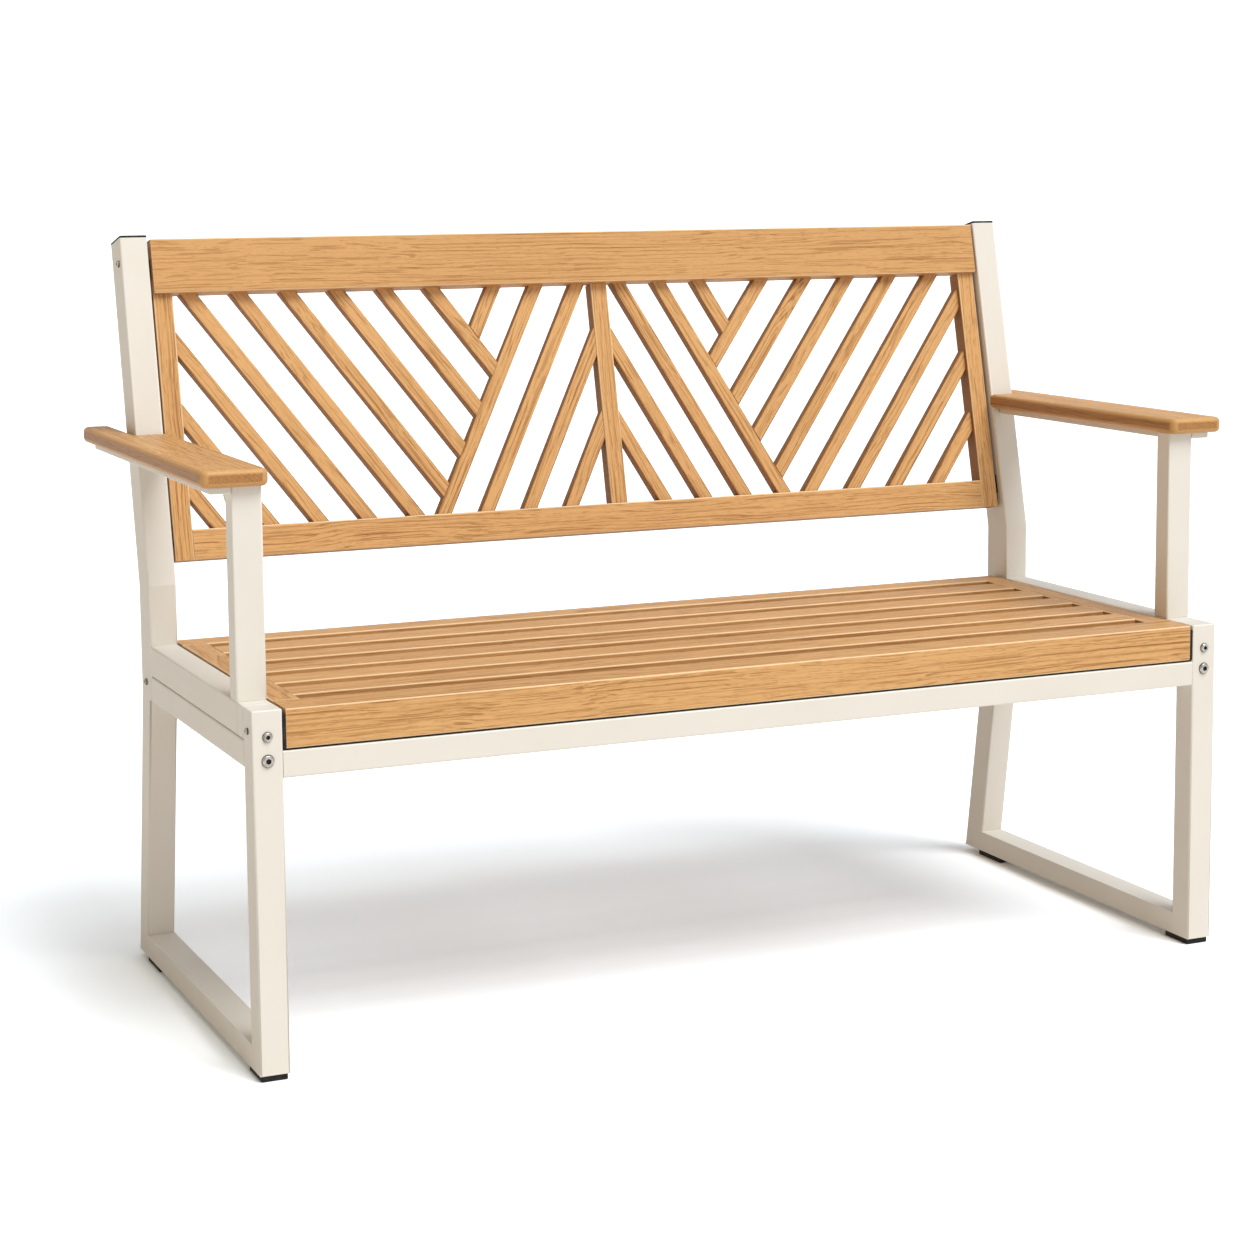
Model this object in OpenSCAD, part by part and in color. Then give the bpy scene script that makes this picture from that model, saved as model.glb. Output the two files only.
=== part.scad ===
// Garden bench: powder-coated steel side frames, slatted oak seat and a lattice back.
// Millimetres, Z up, floor at Z = 0, X across the bench, the sitter looks toward -Y.
// Inside the modules Y = 0 is the front face of the front legs and Z = 0 is the underside
// of the floor runners; placed() then moves every piece into the shared frame.

/* [Side frame] */
// Width over the two side frames
bench_w = 1280; // [900:10:1800]
// Height of the seat and of the front legs above the runner underside
seat_h = 414; // [360:1:480]
// Width of every frame tube, across the bench
tube_w = 35; // [25:1:50]
// Depth of the front leg, front to back
front_leg_d = 35; // [25:1:50]
// Depth of the rear leg, square to its length
rear_leg_d = 40; // [30:1:60]
// Depth of the back upright, square to its length
upright_d = 50; // [35:1:70]
// Height of the floor runner
runner_h = 28; // [20:1:40]
// Wall of every frame tube
tube_wall = 2; // [1.5:0.5:3]
// Flat taken off every long tube edge
tube_ease = 2; // [0.5:0.5:4]
// Height of the feet under the runners
foot_h = 8; // [4:1:15]

/* [Rails] */
// Height of the upper seat-level side rail
upper_rail_h = 37.5; // [25:0.5:60]
// Height of the lower seat-level side rail
lower_rail_h = 31; // [20:0.5:60]
// Shadow gap between the two side rails
rail_gap = 1; // [0.5:0.5:4]
// Height of the cross tubes under the seat
apron_h = 31; // [20:1:50]
// Depth of the cross tubes under the seat
apron_d = 25; // [20:1:40]

/* [Rear posts] */
// Front face of the upright at seat height
upright_y = 448.7; // [380:0.1:520]
// Height of the bend where the upright starts to lean
bend_z = 489.4; // [440:0.1:540]
// Lean of the back from vertical
lean = 12.9; // [5:0.1:20]
// Length of the leaning part of the upright
upright_len = 441; // [300:1:560]
// Slope of the rear leg from vertical
rear_slope = 8.9; // [0:0.1:15]
// Front face of the rear leg where it meets the lower side rail
rear_leg_y = 458.5; // [420:0.5:520]

/* [Arm] */
// Front face of the arm post, behind the front of the leg
post_y = 58; // [20:1:140]
// Depth of the arm post
post_d = 28; // [20:1:40]
// Underside of the wooden armrest
arm_z = 656; // [560:1:720]
// Thickness of the wooden armrest
arm_t = 20; // [12:1:30]
// Armrest overhang outside the frame
arm_out = 37; // [10:1:60]
// Armrest overhang inside the frame
arm_in = 5; // [0:1:20]
// Front end of the armrest
arm_front = 44; // [0:1:100]
// Rear end of the armrest, beside and behind the upright
arm_rear = 628; // [560:1:700]
// Radius of the armrest corners seen from above
arm_r = 9; // [2:1:20]
// Thickness of the steel arm support
support_t = 8; // [4:1:12]

/* [Seat] */
// Gap between the wooden seat and the frame
seat_gap = 4; // [2:1:10]
// Height of the four seat rails
seat_rail_h = 45; // [30:1:60]
// Depth of the front seat rail
seat_front_d = 50; // [30:1:70]
// Depth of the rear seat rail
seat_rear_d = 40; // [30:1:60]
// Width of the two end rails
seat_end_w = 32; // [20:1:60]
// Rear edge of the seat
seat_depth = 481; // [420:1:520]
// Number of slats between the front and rear seat rails
seat_slats = 5; // [3:1:8]
// Gap between the seat slats
slat_gap = 26; // [8:1:32]
// Thickness of the seat slats
slat_t = 22; // [15:1:30]
// Flat taken off every long board edge
board_ease = 2.5; // [0.5:0.5:5]

/* [Back panel] */
// Gap between the back panel and the uprights
back_gap = 4; // [2:1:10]
// Underside of the bottom rail, measured up the slope from the bend
panel_low = 30; // [0:1:80]
// Height of the bottom rail
bottom_rail_h = 39; // [25:1:60]
// Height of the top rail
top_rail_h = 69.5; // [40:0.5:100]
// Top of the top rail, measured up the slope from the bend
panel_top = 439; // [380:1:520]
// Depth of the top rail
top_rail_d = 30; // [20:1:40]
// Set-back of the stiles behind the top rail
stile_back = 8.5; // [0:0.5:15]
// Width of the two outer stiles
stile_w = 25; // [18:1:40]
// Depth of the stiles and the bottom rail
stile_d = 25; // [18:1:40]
// Width of the centre stile
centre_w = 24; // [15:1:40]
// Depth of the centre stile
centre_d = 20; // [12:1:30]
// Distance of the centre stile from the middle of the panel, toward the right
centre_x = 14; // [0:1:20]
// Width of the diagonal lattice slats
lattice_w = 19; // [12:1:30]
// Thickness of the diagonal lattice slats
lattice_t = 15; // [8:1:22]
// Set-back of the lattice behind the top rail
lattice_back = 15.5; // [8:0.5:22]
// Slope of the lattice slats beside the centre stile, from horizontal
inner_angle = 62; // [45:1:75]
// Slope of the outer lattice slats on the left, from horizontal
left_angle = 54.5; // [50:0.5:60]
// Slope of the outer lattice slats on the right, from horizontal
right_angle = 52.5; // [50:0.5:60]
// Spacing of the inner lattice slats along the rails
inner_pitch = 60.5; // [40:0.5:90]
// Spacing of the nine outer slats on the left
left_pitch = 65.6; // [60:0.1:70]
// Spacing of the eight outer slats on the right
right_pitch = 68.2; // [60:0.1:72]

/* [Hidden] */
$fn = 48;
half_w = bench_w / 2;
inner_x = half_w - tube_w;
screw_head = 3;
shift_y = -(arm_rear - screw_head) / 2;

// Side frame heights and the sloped rear leg in the side view.
rail_top = seat_h - upper_rail_h;
lower_top = rail_top - rail_gap;
leg_top = lower_top - lower_rail_h;
slope = tan(rear_slope);
rear_leg_run = rear_leg_d / cos(rear_slope);
function leg_front_y(z) = rear_leg_y + (leg_top - z) * slope;
function leg_rear_y(z) = leg_front_y(z) + rear_leg_run;
heel_y = leg_rear_y(0);

// Seat levels.
apron_z = seat_h - seat_rail_h - 2 - apron_h;
seat_x = inner_x - seat_gap;
slat_field = seat_depth - seat_rear_d - seat_front_d;
slat_w = (slat_field - (seat_slats + 1) * slat_gap) / seat_slats;
bearer_w = 30;
bearer_x = 200;
pad_w = 40;
pad_d = 16;
rear_apron_y = leg_front_y(leg_top) + 4;

// Back panel levels, measured up the slope.
panel_x = inner_x - back_gap;
top_low = panel_top - top_rail_h;
field_low = panel_low + bottom_rail_h;
field_h = top_low - field_low;
stile_in = panel_x - stile_w;
centre_in = centre_w / 2;
inner_first = 30.5;
inner_half = lattice_w / 2 / sin(inner_angle);
inner_run = field_h / tan(inner_angle);
boundary_x = inner_first + inner_pitch;
// Each outer field: its side, first slat, spacing and slope.
left_field = [-1, 226, left_pitch, left_angle];
right_field = [1, 262.5, right_pitch, right_angle];

// Fastener places.
bolt_x = half_w - tube_w / 2;
small_bolt_z = seat_h - 30;
large_bolt_z = seat_h - 57;
side_screw_z = seat_h - 25;
rear_screw_z = leg_top + 21;
top_screw_w = panel_top - top_rail_h / 2 + 6;
top_screw_n = top_rail_d / 2;

// ---------- placing ----------

module placed(side = 1) {
    translate([0, shift_y, foot_h])
        mirror([side < 0 ? 1 : 0, 0, 0])
            children();
}

// Local axes of the leaning back: X across, Y square to the back, Z up the slope.
module leaning() {
    translate([0, upright_y, bend_z])
        rotate([-lean, 0, 0])
            children();
}

// ---------- basic shapes ----------

function eased(a, b, c) = [
    [c, 0], [a - c, 0], [a, c], [a, b - c],
    [a - c, b], [c, b], [0, b - c], [0, c]
];

// Board or solid bar with its four long edges eased. axis is the long direction.
module bar_z(size, ease) {
    linear_extrude(size[2])
        polygon(eased(size[0], size[1], ease));
}

module bar_x(size, ease) {
    translate([0, size[1], 0])
        rotate([90, 0, 90])
            mirror([1, 0, 0])
                linear_extrude(size[0])
                    polygon(eased(size[1], size[2], ease));
}

module bar_y(size, ease) {
    translate([0, size[1], 0])
        rotate([90, 0, 0])
            linear_extrude(size[1])
                polygon(eased(size[0], size[2], ease));
}

// Polygon in the side view (Y, Z) made solid between two X positions.
module side_slab(points, x0, x1) {
    translate([x0, 0, 0])
        rotate([90, 0, 90])
            linear_extrude(x1 - x0)
                polygon(points);
}

// ---------- side frame ----------

module front_leg_tube() {
    difference() {
        translate([inner_x, 0, 0])
            bar_z([tube_w, front_leg_d, seat_h], tube_ease);
        translate([inner_x + tube_wall, tube_wall, -1])
            cube([tube_w - 2 * tube_wall, front_leg_d - 2 * tube_wall, seat_h - tube_wall + 1]);
        side_slab([
            [-1, -0.8], [front_leg_d + 1, runner_h + 0.8], [front_leg_d + 1, -1], [-1, -1]
        ], inner_x - 1, half_w + 1);
    }
}

module front_leg(side) {
    color("#ebe5d8")
        placed(side)
            difference() {
                front_leg_tube();
                translate([bolt_x, -1, small_bolt_z])
                    rotate([-90, 0, 0])
                        cylinder(d = 6.4, h = tube_wall + 2);
                translate([bolt_x, -1, large_bolt_z])
                    rotate([-90, 0, 0])
                        cylinder(d = 8.4, h = tube_wall + 2);
                translate([half_w - tube_wall - 1, front_leg_d / 2, side_screw_z])
                    rotate([0, 90, 0])
                        cylinder(d = 4.4, h = tube_wall + 2);
            }
}

module sloped_tube(width, depth, inset) {
    translate([inner_x + inset, leg_front_y(0), 0])
        rotate([rear_slope, 0, 0])
            translate([0, 0, -60])
                translate([0, inset, 0])
                    bar_z([width, depth, leg_top + 120], inset > 0 ? 0.5 : tube_ease);
}

module rear_leg(side) {
    outline = [
        [leg_front_y(leg_top) - 30, leg_top], [leg_rear_y(leg_top) + 30, leg_top],
        [heel_y + 30, leg_top], [heel_y + 30, 0], [heel_y, 0],
        [leg_front_y(runner_h), runner_h], [leg_front_y(runner_h) - 80, runner_h]
    ];
    color("#ebe5d8")
        placed(side)
            intersection() {
                difference() {
                    sloped_tube(tube_w, rear_leg_d, 0);
                    sloped_tube(tube_w - 2 * tube_wall, rear_leg_d - 2 * tube_wall, tube_wall);
                }
                side_slab(outline, inner_x - 1, half_w + 1);
            }
}

module floor_runner(side) {
    outline = [
        [0, 0], [front_leg_d, runner_h],
        [leg_front_y(runner_h), runner_h], [heel_y, 0]
    ];
    color("#ebe5d8")
        placed(side)
            intersection() {
                difference() {
                    translate([inner_x, 0, 0])
                        bar_y([tube_w, heel_y, runner_h], tube_ease);
                    translate([inner_x + tube_wall, -1, tube_wall])
                        cube([tube_w - 2 * tube_wall, heel_y + 2, runner_h - 2 * tube_wall]);
                }
                side_slab(outline, inner_x - 1, half_w + 1);
            }
}

// Side view of the upright: a vertical stub beside the rails, mitred to the leaning part.
function bend_pt(n) = [upright_y + n, bend_z - n * tan(lean / 2)];
function lean_pt(n, w) = [
    upright_y + n * cos(lean) + w * sin(lean),
    bend_z - n * sin(lean) + w * cos(lean)
];
function upright_outline(inset, over) = [
    [upright_y + inset, leg_top + inset],
    [upright_y + upright_d - inset, leg_top + inset],
    bend_pt(upright_d - inset),
    lean_pt(upright_d - inset, upright_len + over),
    lean_pt(inset, upright_len + over),
    bend_pt(inset)
];

module upright(side) {
    color("#ebe5d8")
        placed(side)
            difference() {
                side_slab(upright_outline(0, 0), inner_x, half_w);
                side_slab(upright_outline(tube_wall, 1), inner_x + tube_wall, half_w - tube_wall);
                leaning()
                    translate([half_w - tube_wall - 1, top_screw_n, top_screw_w])
                        rotate([0, 90, 0])
                            cylinder(d = 5.4, h = tube_wall + 2);
                translate([half_w - tube_wall - 1, upright_y + upright_d / 2, rear_screw_z])
                    rotate([0, 90, 0])
                        cylinder(d = 5.4, h = tube_wall + 2);
            }
}

// Rail between the leg and the upright: closed by both, so it is left open ended.
module side_rail(z0, h, y_end) {
    difference() {
        translate([inner_x, front_leg_d, z0])
            bar_y([tube_w, y_end - front_leg_d, h], tube_ease);
        translate([inner_x + tube_wall, front_leg_d - 1, z0 + tube_wall])
            cube([tube_w - 2 * tube_wall, y_end - front_leg_d + 2, h - 2 * tube_wall]);
    }
}

module side_rails(side) {
    color("#ebe5d8")
        placed(side) {
            difference() {
                side_rail(rail_top, upper_rail_h, upright_y);
                // Joint line where the rail is welded beside the arm post.
                translate([half_w - 1, post_y - 0.9, rail_top - 1])
                    cube([2, 0.9, upper_rail_h + 2]);
            }
            side_rail(leg_top, lower_rail_h, upright_y);
        }
}

// ---------- arms ----------

module arm_post(side) {
    h = arm_z - seat_h;
    color("#ebe5d8")
        placed(side)
            difference() {
                translate([inner_x, post_y, seat_h])
                    bar_z([tube_w, post_d, h], tube_ease);
                translate([inner_x + tube_wall, post_y + tube_wall, seat_h - 1])
                    cube([tube_w - 2 * tube_wall, post_d - 2 * tube_wall, h - tube_wall + 1]);
            }
}

// Front face of the upright at a given height above the bend.
function back_y(z) = upright_y + (z - bend_z) * tan(lean);
arm_notch_y = back_y(arm_z) - 0.5;

module arm_support(side) {
    z0 = arm_z - support_t;
    y1 = post_y + post_d;
    y2 = back_y(z0) - 0.3;
    gusset = 12;
    color("#ebe5d8")
        placed(side) {
            difference() {
                translate([inner_x + 10, post_y, z0])
                    cube([tube_w - 10 + 25, arm_rear - 18 - post_y, support_t]);
                translate([inner_x - 1, post_y - 1, z0 - 1])
                    cube([tube_w + 1.3, post_d + 1.3, support_t + 2]);
                translate([inner_x - 1, y2, z0 - 1])
                    cube([tube_w + 1.3, 200, support_t + 2]);
            }
            side_slab([
                [y1 + 0.3, z0], [y1 + 0.3, z0 - gusset], [y1 + 0.3 + gusset, z0]
            ], inner_x + 10, half_w);
        }
}

module armrest_plan() {
    x0 = inner_x - arm_in;
    x1 = half_w + arm_out;
    tongue = half_w + 1;
    union() {
        translate([x0 + arm_r, arm_front + arm_r])
            circle(arm_r);
        translate([x1 - arm_r, arm_front + arm_r])
            circle(arm_r);
        translate([x1 - arm_r, arm_rear - arm_r])
            circle(arm_r);
        translate([x0 + arm_r, arm_front])
            square([x1 - x0 - 2 * arm_r, 2 * arm_r]);
        translate([x0, arm_front + arm_r])
            square([x1 - x0, arm_notch_y - arm_front - arm_r]);
        translate([tongue, arm_notch_y - 1])
            square([x1 - tongue, arm_rear - arm_r - arm_notch_y + 1]);
        translate([tongue, arm_rear - 2 * arm_r])
            square([x1 - tongue - arm_r, 2 * arm_r]);
    }
}

module armrest(side) {
    color("#cf9a5f")
        placed(side)
            translate([0, 0, arm_z])
                linear_extrude(arm_t)
                    armrest_plan();
}

// ---------- cross tubes ----------

module cross_tube(y0) {
    difference() {
        translate([-inner_x, y0, apron_z])
            bar_x([2 * inner_x, apron_d, apron_h], tube_ease);
        translate([-inner_x - 1, y0 + tube_wall, apron_z + tube_wall])
            cube([2 * inner_x + 2, apron_d - 2 * tube_wall, apron_h - 2 * tube_wall]);
    }
}

module front_apron() {
    color("#ebe5d8")
        placed()
            cross_tube(0);
}

module rear_apron() {
    color("#ebe5d8")
        placed()
            cross_tube(rear_apron_y);
}

// ---------- seat ----------

module seat_board(y0, d, t) {
    x1 = seat_x - seat_end_w;
    translate([-x1, y0, seat_h - t])
        bar_x([2 * x1, d, t], board_ease);
}

module seat_front_rail() {
    color("#d29e62")
        placed()
            translate([-seat_x, 0, seat_h - seat_rail_h])
                bar_x([2 * seat_x, seat_front_d, seat_rail_h], board_ease);
}

module seat_rear_rail() {
    color("#d29e62")
        placed()
            translate([-seat_x, seat_depth - seat_rear_d, seat_h - seat_rail_h])
                bar_x([2 * seat_x, seat_rear_d, seat_rail_h], board_ease);
}

module seat_end_rail(side) {
    color("#d29e62")
        placed(side)
            translate([seat_x - seat_end_w, seat_front_d, seat_h - seat_rail_h])
                bar_y([seat_end_w, slat_field, seat_rail_h], board_ease);
}

module seat_slat(i) {
    color("#d29e62")
        placed()
            seat_board(seat_front_d + slat_gap + (i - 1) * (slat_w + slat_gap), slat_w, slat_t);
}

module seat_bearers() {
    color("#c08a50")
        placed()
            for (x = [-bearer_x, bearer_x])
                translate([x - bearer_w / 2, seat_front_d, seat_h - seat_rail_h])
                    bar_y([bearer_w, slat_field, seat_rail_h - slat_t], board_ease);
}

// ---------- back panel ----------

module back_top_rail() {
    color("#d29e62")
        placed()
            leaning()
                translate([-panel_x, 0, top_low])
                    bar_x([2 * panel_x, top_rail_d, top_rail_h], board_ease);
}

module back_bottom_rail() {
    color("#d29e62")
        placed()
            leaning()
                translate([-stile_in, stile_back, panel_low])
                    bar_x([2 * stile_in, stile_d, bottom_rail_h], board_ease);
}

module back_stile(side) {
    color("#d29e62")
        placed(side)
            leaning()
                translate([stile_in, stile_back, panel_low])
                    bar_z([stile_w, stile_d, top_low - panel_low], board_ease);
}

module back_centre_stile() {
    color("#d29e62")
        placed()
            leaning()
                translate([centre_x - centre_in, stile_back + stile_d - centre_d, field_low])
                    bar_z([centre_w, centre_d, field_h], board_ease);
}

// A long lattice bar whose centre line passes through x_top under the top rail and
// leans outward (run > 0) or inward (run < 0) on the way down.
module lattice_bar(x_top, run) {
    angle = -atan2(run, field_h);
    translate([x_top, lattice_back, top_low])
        rotate([0, angle, 0])
            translate([-lattice_w / 2, 0, -2 * field_h])
                bar_z([lattice_w, lattice_t, 3 * field_h], 1.5);
}

// Front-view polygon (X, up the slope) made solid through the back.
module field(points) {
    translate([0, lattice_back - 5, 0])
        rotate([90, 0, 0])
            mirror([0, 0, 1])
                linear_extrude(lattice_t + 10)
                    polygon(points);
}

// Outer edge of the long inner slat that the outer slats run into, measured outward
// from the middle of the panel.
function boundary(side, z) =
    side * centre_x + boundary_x + inner_half + (top_low - z) / tan(inner_angle);
// Inner edge of the first outer slat, which the shortest inner slat runs into.
function first_edge(side_field, z) =
    side_field[1] - lattice_w / 2 / sin(side_field[3]) - (top_low - z) / tan(side_field[3]);

module outer_lattice(side_field, i) {
    side = side_field[0];
    top_x = side_field[1] + (i - 1) * side_field[2];
    color("#d29e62")
        placed(side)
            leaning()
                intersection() {
                    lattice_bar(top_x, -field_h / tan(side_field[3]));
                    field([
                        [boundary(side, field_low), field_low], [stile_in, field_low],
                        [stile_in, top_low], [boundary(side, top_low), top_low]
                    ]);
                }
}

// The fifth and shortest inner slat stops at the first outer slat, the others run on.
module inner_lattice_half(side_field, i) {
    middle = top_low - field_h / 2;
    side = side_field[0];
    stile_edge = side * centre_x + centre_in;
    top_x = side * centre_x + inner_first + (i - 3) * inner_pitch;
    placed(side)
        leaning()
            intersection() {
                lattice_bar(top_x, inner_run);
                field(i < 5
                    ? [
                        [stile_edge, field_low], [stile_in, field_low],
                        [stile_in, top_low], [stile_edge, top_low]
                    ]
                    : [
                        [stile_edge, middle], [first_edge(side_field, middle), middle],
                        [first_edge(side_field, top_low), top_low], [stile_edge, top_low]
                    ]);
            }
}

module inner_lattice(i) {
    color("#d29e62") {
        inner_lattice_half(left_field, i);
        inner_lattice_half(right_field, i);
    }
}

// ---------- small parts ----------

module feet() {
    color("#26241f")
        for (side = [-1, 1])
            placed(side) {
                translate([inner_x + 2, 3, -foot_h])
                    bar_y([tube_w - 4, 49, foot_h], 1);
                translate([inner_x + 2, heel_y - 93, -foot_h])
                    bar_y([tube_w - 4, 58, foot_h], 1);
            }
}

module upright_caps() {
    plug = tube_wall + 0.3;
    color("#26241f")
        for (side = [-1, 1])
            placed(side)
                leaning() {
                    translate([inner_x, 0, upright_len])
                        bar_z([tube_w, upright_d, 3], tube_ease);
                    translate([inner_x + plug, plug, upright_len - 15])
                        bar_z([tube_w - 2 * plug, upright_d - 2 * plug, 15], 1);
                }
}

// Button-head bolt along +Z with a hexagon socket, head on the +Z side of the origin.
module button_bolt(head_d, shank_d, shank_l, socket) {
    difference() {
        union() {
            cylinder(d1 = head_d, d2 = head_d * 0.72, h = screw_head);
            translate([0, 0, -shank_l])
                cylinder(d = shank_d, h = shank_l);
        }
        translate([0, 0, screw_head - 1.6])
            cylinder(d = socket, h = 3, $fn = 6);
    }
}

module frame_bolts() {
    color("#8f8a80")
        for (side = [-1, 1])
            placed(side) {
                translate([bolt_x, 0, small_bolt_z])
                    rotate([90, 0, 0])
                        button_bolt(12, 6, 16, 4.6);
                translate([bolt_x, 0, large_bolt_z])
                    rotate([90, 0, 0])
                        button_bolt(15, 8, 16, 5.8);
            }
}

module side_screws() {
    color("#8f8a80")
        for (side = [-1, 1])
            placed(side) {
                translate([half_w, front_leg_d / 2, side_screw_z])
                    rotate([0, 90, 0])
                        button_bolt(8, 4, 8, 3);
                translate([half_w, upright_y + upright_d / 2, rear_screw_z])
                    rotate([0, 90, 0])
                        button_bolt(9, 5, 8, 3.5);
                leaning()
                    translate([half_w, top_screw_n, top_screw_w])
                        rotate([0, 90, 0])
                            button_bolt(9, 5, 8, 3.5);
            }
}

// Black pads: four under the seat frame, four between the back panel and the uprights.
module spacer_pads() {
    color("#26241f")
        for (side = [-1, 1])
            placed(side) {
                for (y = [3, rear_apron_y + 2])
                    translate([seat_x - 90, y, apron_z + apron_h])
                        cube([pad_w, pad_d, seat_h - seat_rail_h - apron_z - apron_h]);
                leaning()
                    for (z = [panel_low + 20, panel_top - 50])
                        translate([panel_x, stile_back + 3, z])
                            cube([back_gap, 15, 25]);
            }
}

front_leg(-1);  // front_leg_left
front_leg(1);  // front_leg_right
rear_leg(-1);  // rear_leg_left
rear_leg(1);  // rear_leg_right
upright(-1);  // upright_left
upright(1);  // upright_right
floor_runner(-1);  // floor_runner_left
floor_runner(1);  // floor_runner_right
side_rails(-1);  // side_rails_left
side_rails(1);  // side_rails_right
arm_post(-1);  // arm_post_left
arm_post(1);  // arm_post_right
arm_support(-1);  // arm_support_left
arm_support(1);  // arm_support_right
armrest(-1);  // armrest_left
armrest(1);  // armrest_right
front_apron();
rear_apron();
seat_front_rail();
seat_rear_rail();
seat_end_rail(-1);  // seat_end_rail_left
seat_end_rail(1);  // seat_end_rail_right
seat_slat(1);  // seat_slat_1
seat_slat(2);  // seat_slat_2
seat_slat(3);  // seat_slat_3
seat_slat(4);  // seat_slat_4
seat_slat(5);  // seat_slat_5
seat_bearers();
back_top_rail();
back_bottom_rail();
back_stile(-1);  // back_stile_left
back_stile(1);  // back_stile_right
back_centre_stile();
outer_lattice(left_field, 1);  // lattice_left_1
outer_lattice(left_field, 2);  // lattice_left_2
outer_lattice(left_field, 3);  // lattice_left_3
outer_lattice(left_field, 4);  // lattice_left_4
outer_lattice(left_field, 5);  // lattice_left_5
outer_lattice(left_field, 6);  // lattice_left_6
outer_lattice(left_field, 7);  // lattice_left_7
outer_lattice(left_field, 8);  // lattice_left_8
outer_lattice(left_field, 9);  // lattice_left_9
outer_lattice(right_field, 1);  // lattice_right_1
outer_lattice(right_field, 2);  // lattice_right_2
outer_lattice(right_field, 3);  // lattice_right_3
outer_lattice(right_field, 4);  // lattice_right_4
outer_lattice(right_field, 5);  // lattice_right_5
outer_lattice(right_field, 6);  // lattice_right_6
outer_lattice(right_field, 7);  // lattice_right_7
outer_lattice(right_field, 8);  // lattice_right_8
inner_lattice(1);  // lattice_inner_1
inner_lattice(2);  // lattice_inner_2
inner_lattice(3);  // lattice_inner_3
inner_lattice(4);  // lattice_inner_4
inner_lattice(5);  // lattice_inner_5
feet();
upright_caps();
frame_bolts();
side_screws();
spacer_pads();
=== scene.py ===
# %% [markdown]
# # A garden bench: steel side frames, oak seat and a lattice back
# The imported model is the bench's skeleton. Every solid in it is exact, but its edges are
# sharp and its surfaces have no finish. Each step below makes one kind of piece again, with
# rounded edges and a grain of its own, in the same place, and lets it stand for its solid.

# %% Load the frame
import math

import bmesh
import bpy
from mathutils import Matrix, Vector


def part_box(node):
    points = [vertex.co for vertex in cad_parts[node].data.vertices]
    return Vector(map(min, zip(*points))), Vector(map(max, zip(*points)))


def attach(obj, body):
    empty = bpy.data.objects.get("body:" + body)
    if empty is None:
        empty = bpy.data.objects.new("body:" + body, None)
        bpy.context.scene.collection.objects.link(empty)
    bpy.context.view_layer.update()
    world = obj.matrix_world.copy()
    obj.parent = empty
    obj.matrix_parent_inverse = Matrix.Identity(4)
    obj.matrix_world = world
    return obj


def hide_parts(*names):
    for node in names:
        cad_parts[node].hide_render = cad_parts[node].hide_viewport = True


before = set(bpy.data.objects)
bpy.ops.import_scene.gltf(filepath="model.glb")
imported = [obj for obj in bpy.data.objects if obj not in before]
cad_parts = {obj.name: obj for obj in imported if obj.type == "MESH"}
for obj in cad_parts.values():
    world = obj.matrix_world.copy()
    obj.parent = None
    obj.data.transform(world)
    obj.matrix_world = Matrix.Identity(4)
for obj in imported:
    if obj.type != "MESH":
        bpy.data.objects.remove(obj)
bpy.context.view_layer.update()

# %% [markdown]
# ## Camera
# A long lens from the front, a little left of the bench and above it, shows the seat from
# above and the inner side of the far frame. The lens points at the back rest and is shifted
# down, as a view camera would be, so that the legs stay upright in the view.

# %% Camera
FOCAL_LENGTH = 76.67
SENSOR_WIDTH = 36.0
LENS_SHIFT = -0.1013
CAMERA_PLACE = (-1.43088, -3.10327, 1.00796)
CAMERA_TURN = -0.4189
CAMERA_DIP = 0.1232
CAMERA_ROLL = -0.00746

lens = bpy.data.cameras.new("camera")
lens.lens = FOCAL_LENGTH
lens.sensor_width = SENSOR_WIDTH
lens.shift_y = LENS_SHIFT
camera = bpy.data.objects.new("camera", lens)
bpy.context.scene.collection.objects.link(camera)
turned = Matrix.Rotation(CAMERA_TURN, 4, "Z") @ Matrix.Rotation(math.pi / 2 - CAMERA_DIP, 4, "X")
rolled = Matrix.Rotation(CAMERA_ROLL, 4, "Z")
camera.matrix_world = Matrix.Translation(CAMERA_PLACE) @ turned @ rolled
bpy.context.scene.camera = camera
print("camera", [round(v, 2) for v in camera.location])

# %% [markdown]
# ## Studio
# The bench stands on a white floor in even white light. A broad sun from the front right
# gives the soft shadow to the back left. A sun doesn't fade with distance, so the floor is
# equally bright up to the horizon and melts into the background.


# %% Node helpers
def add_node(tree, kind, **settings):
    made = tree.nodes.new(kind)
    for name, value in settings.items():
        setattr(made, name, value)
    return made


def feed(tree, target, value):
    """A number or colour is set on the socket, and an output is linked to it."""
    if isinstance(value, bpy.types.NodeSocket):
        tree.links.new(value, target)
    else:
        target.default_value = value


def reckon(tree, operation, first, second=0.0, clamp=False):
    made = add_node(tree, "ShaderNodeMath", operation=operation, use_clamp=clamp)
    feed(tree, made.inputs[0], first)
    feed(tree, made.inputs[1], second)
    return made.outputs[0]


def blend_colour(tree, amount, first, second):
    made = add_node(tree, "ShaderNodeMix", data_type="RGBA", clamp_factor=True)
    feed(tree, made.inputs[0], amount)
    feed(tree, made.inputs[6], first)
    feed(tree, made.inputs[7], second)
    return made.outputs[2]


# %% Floor
FLOOR_SEEN = (1.26, 1.34, 1.39, 1.0)
FLOOR_BOUNCE = (0.90, 0.875, 0.84, 1.0)
FLOOR_HALF = 60.0

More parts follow.
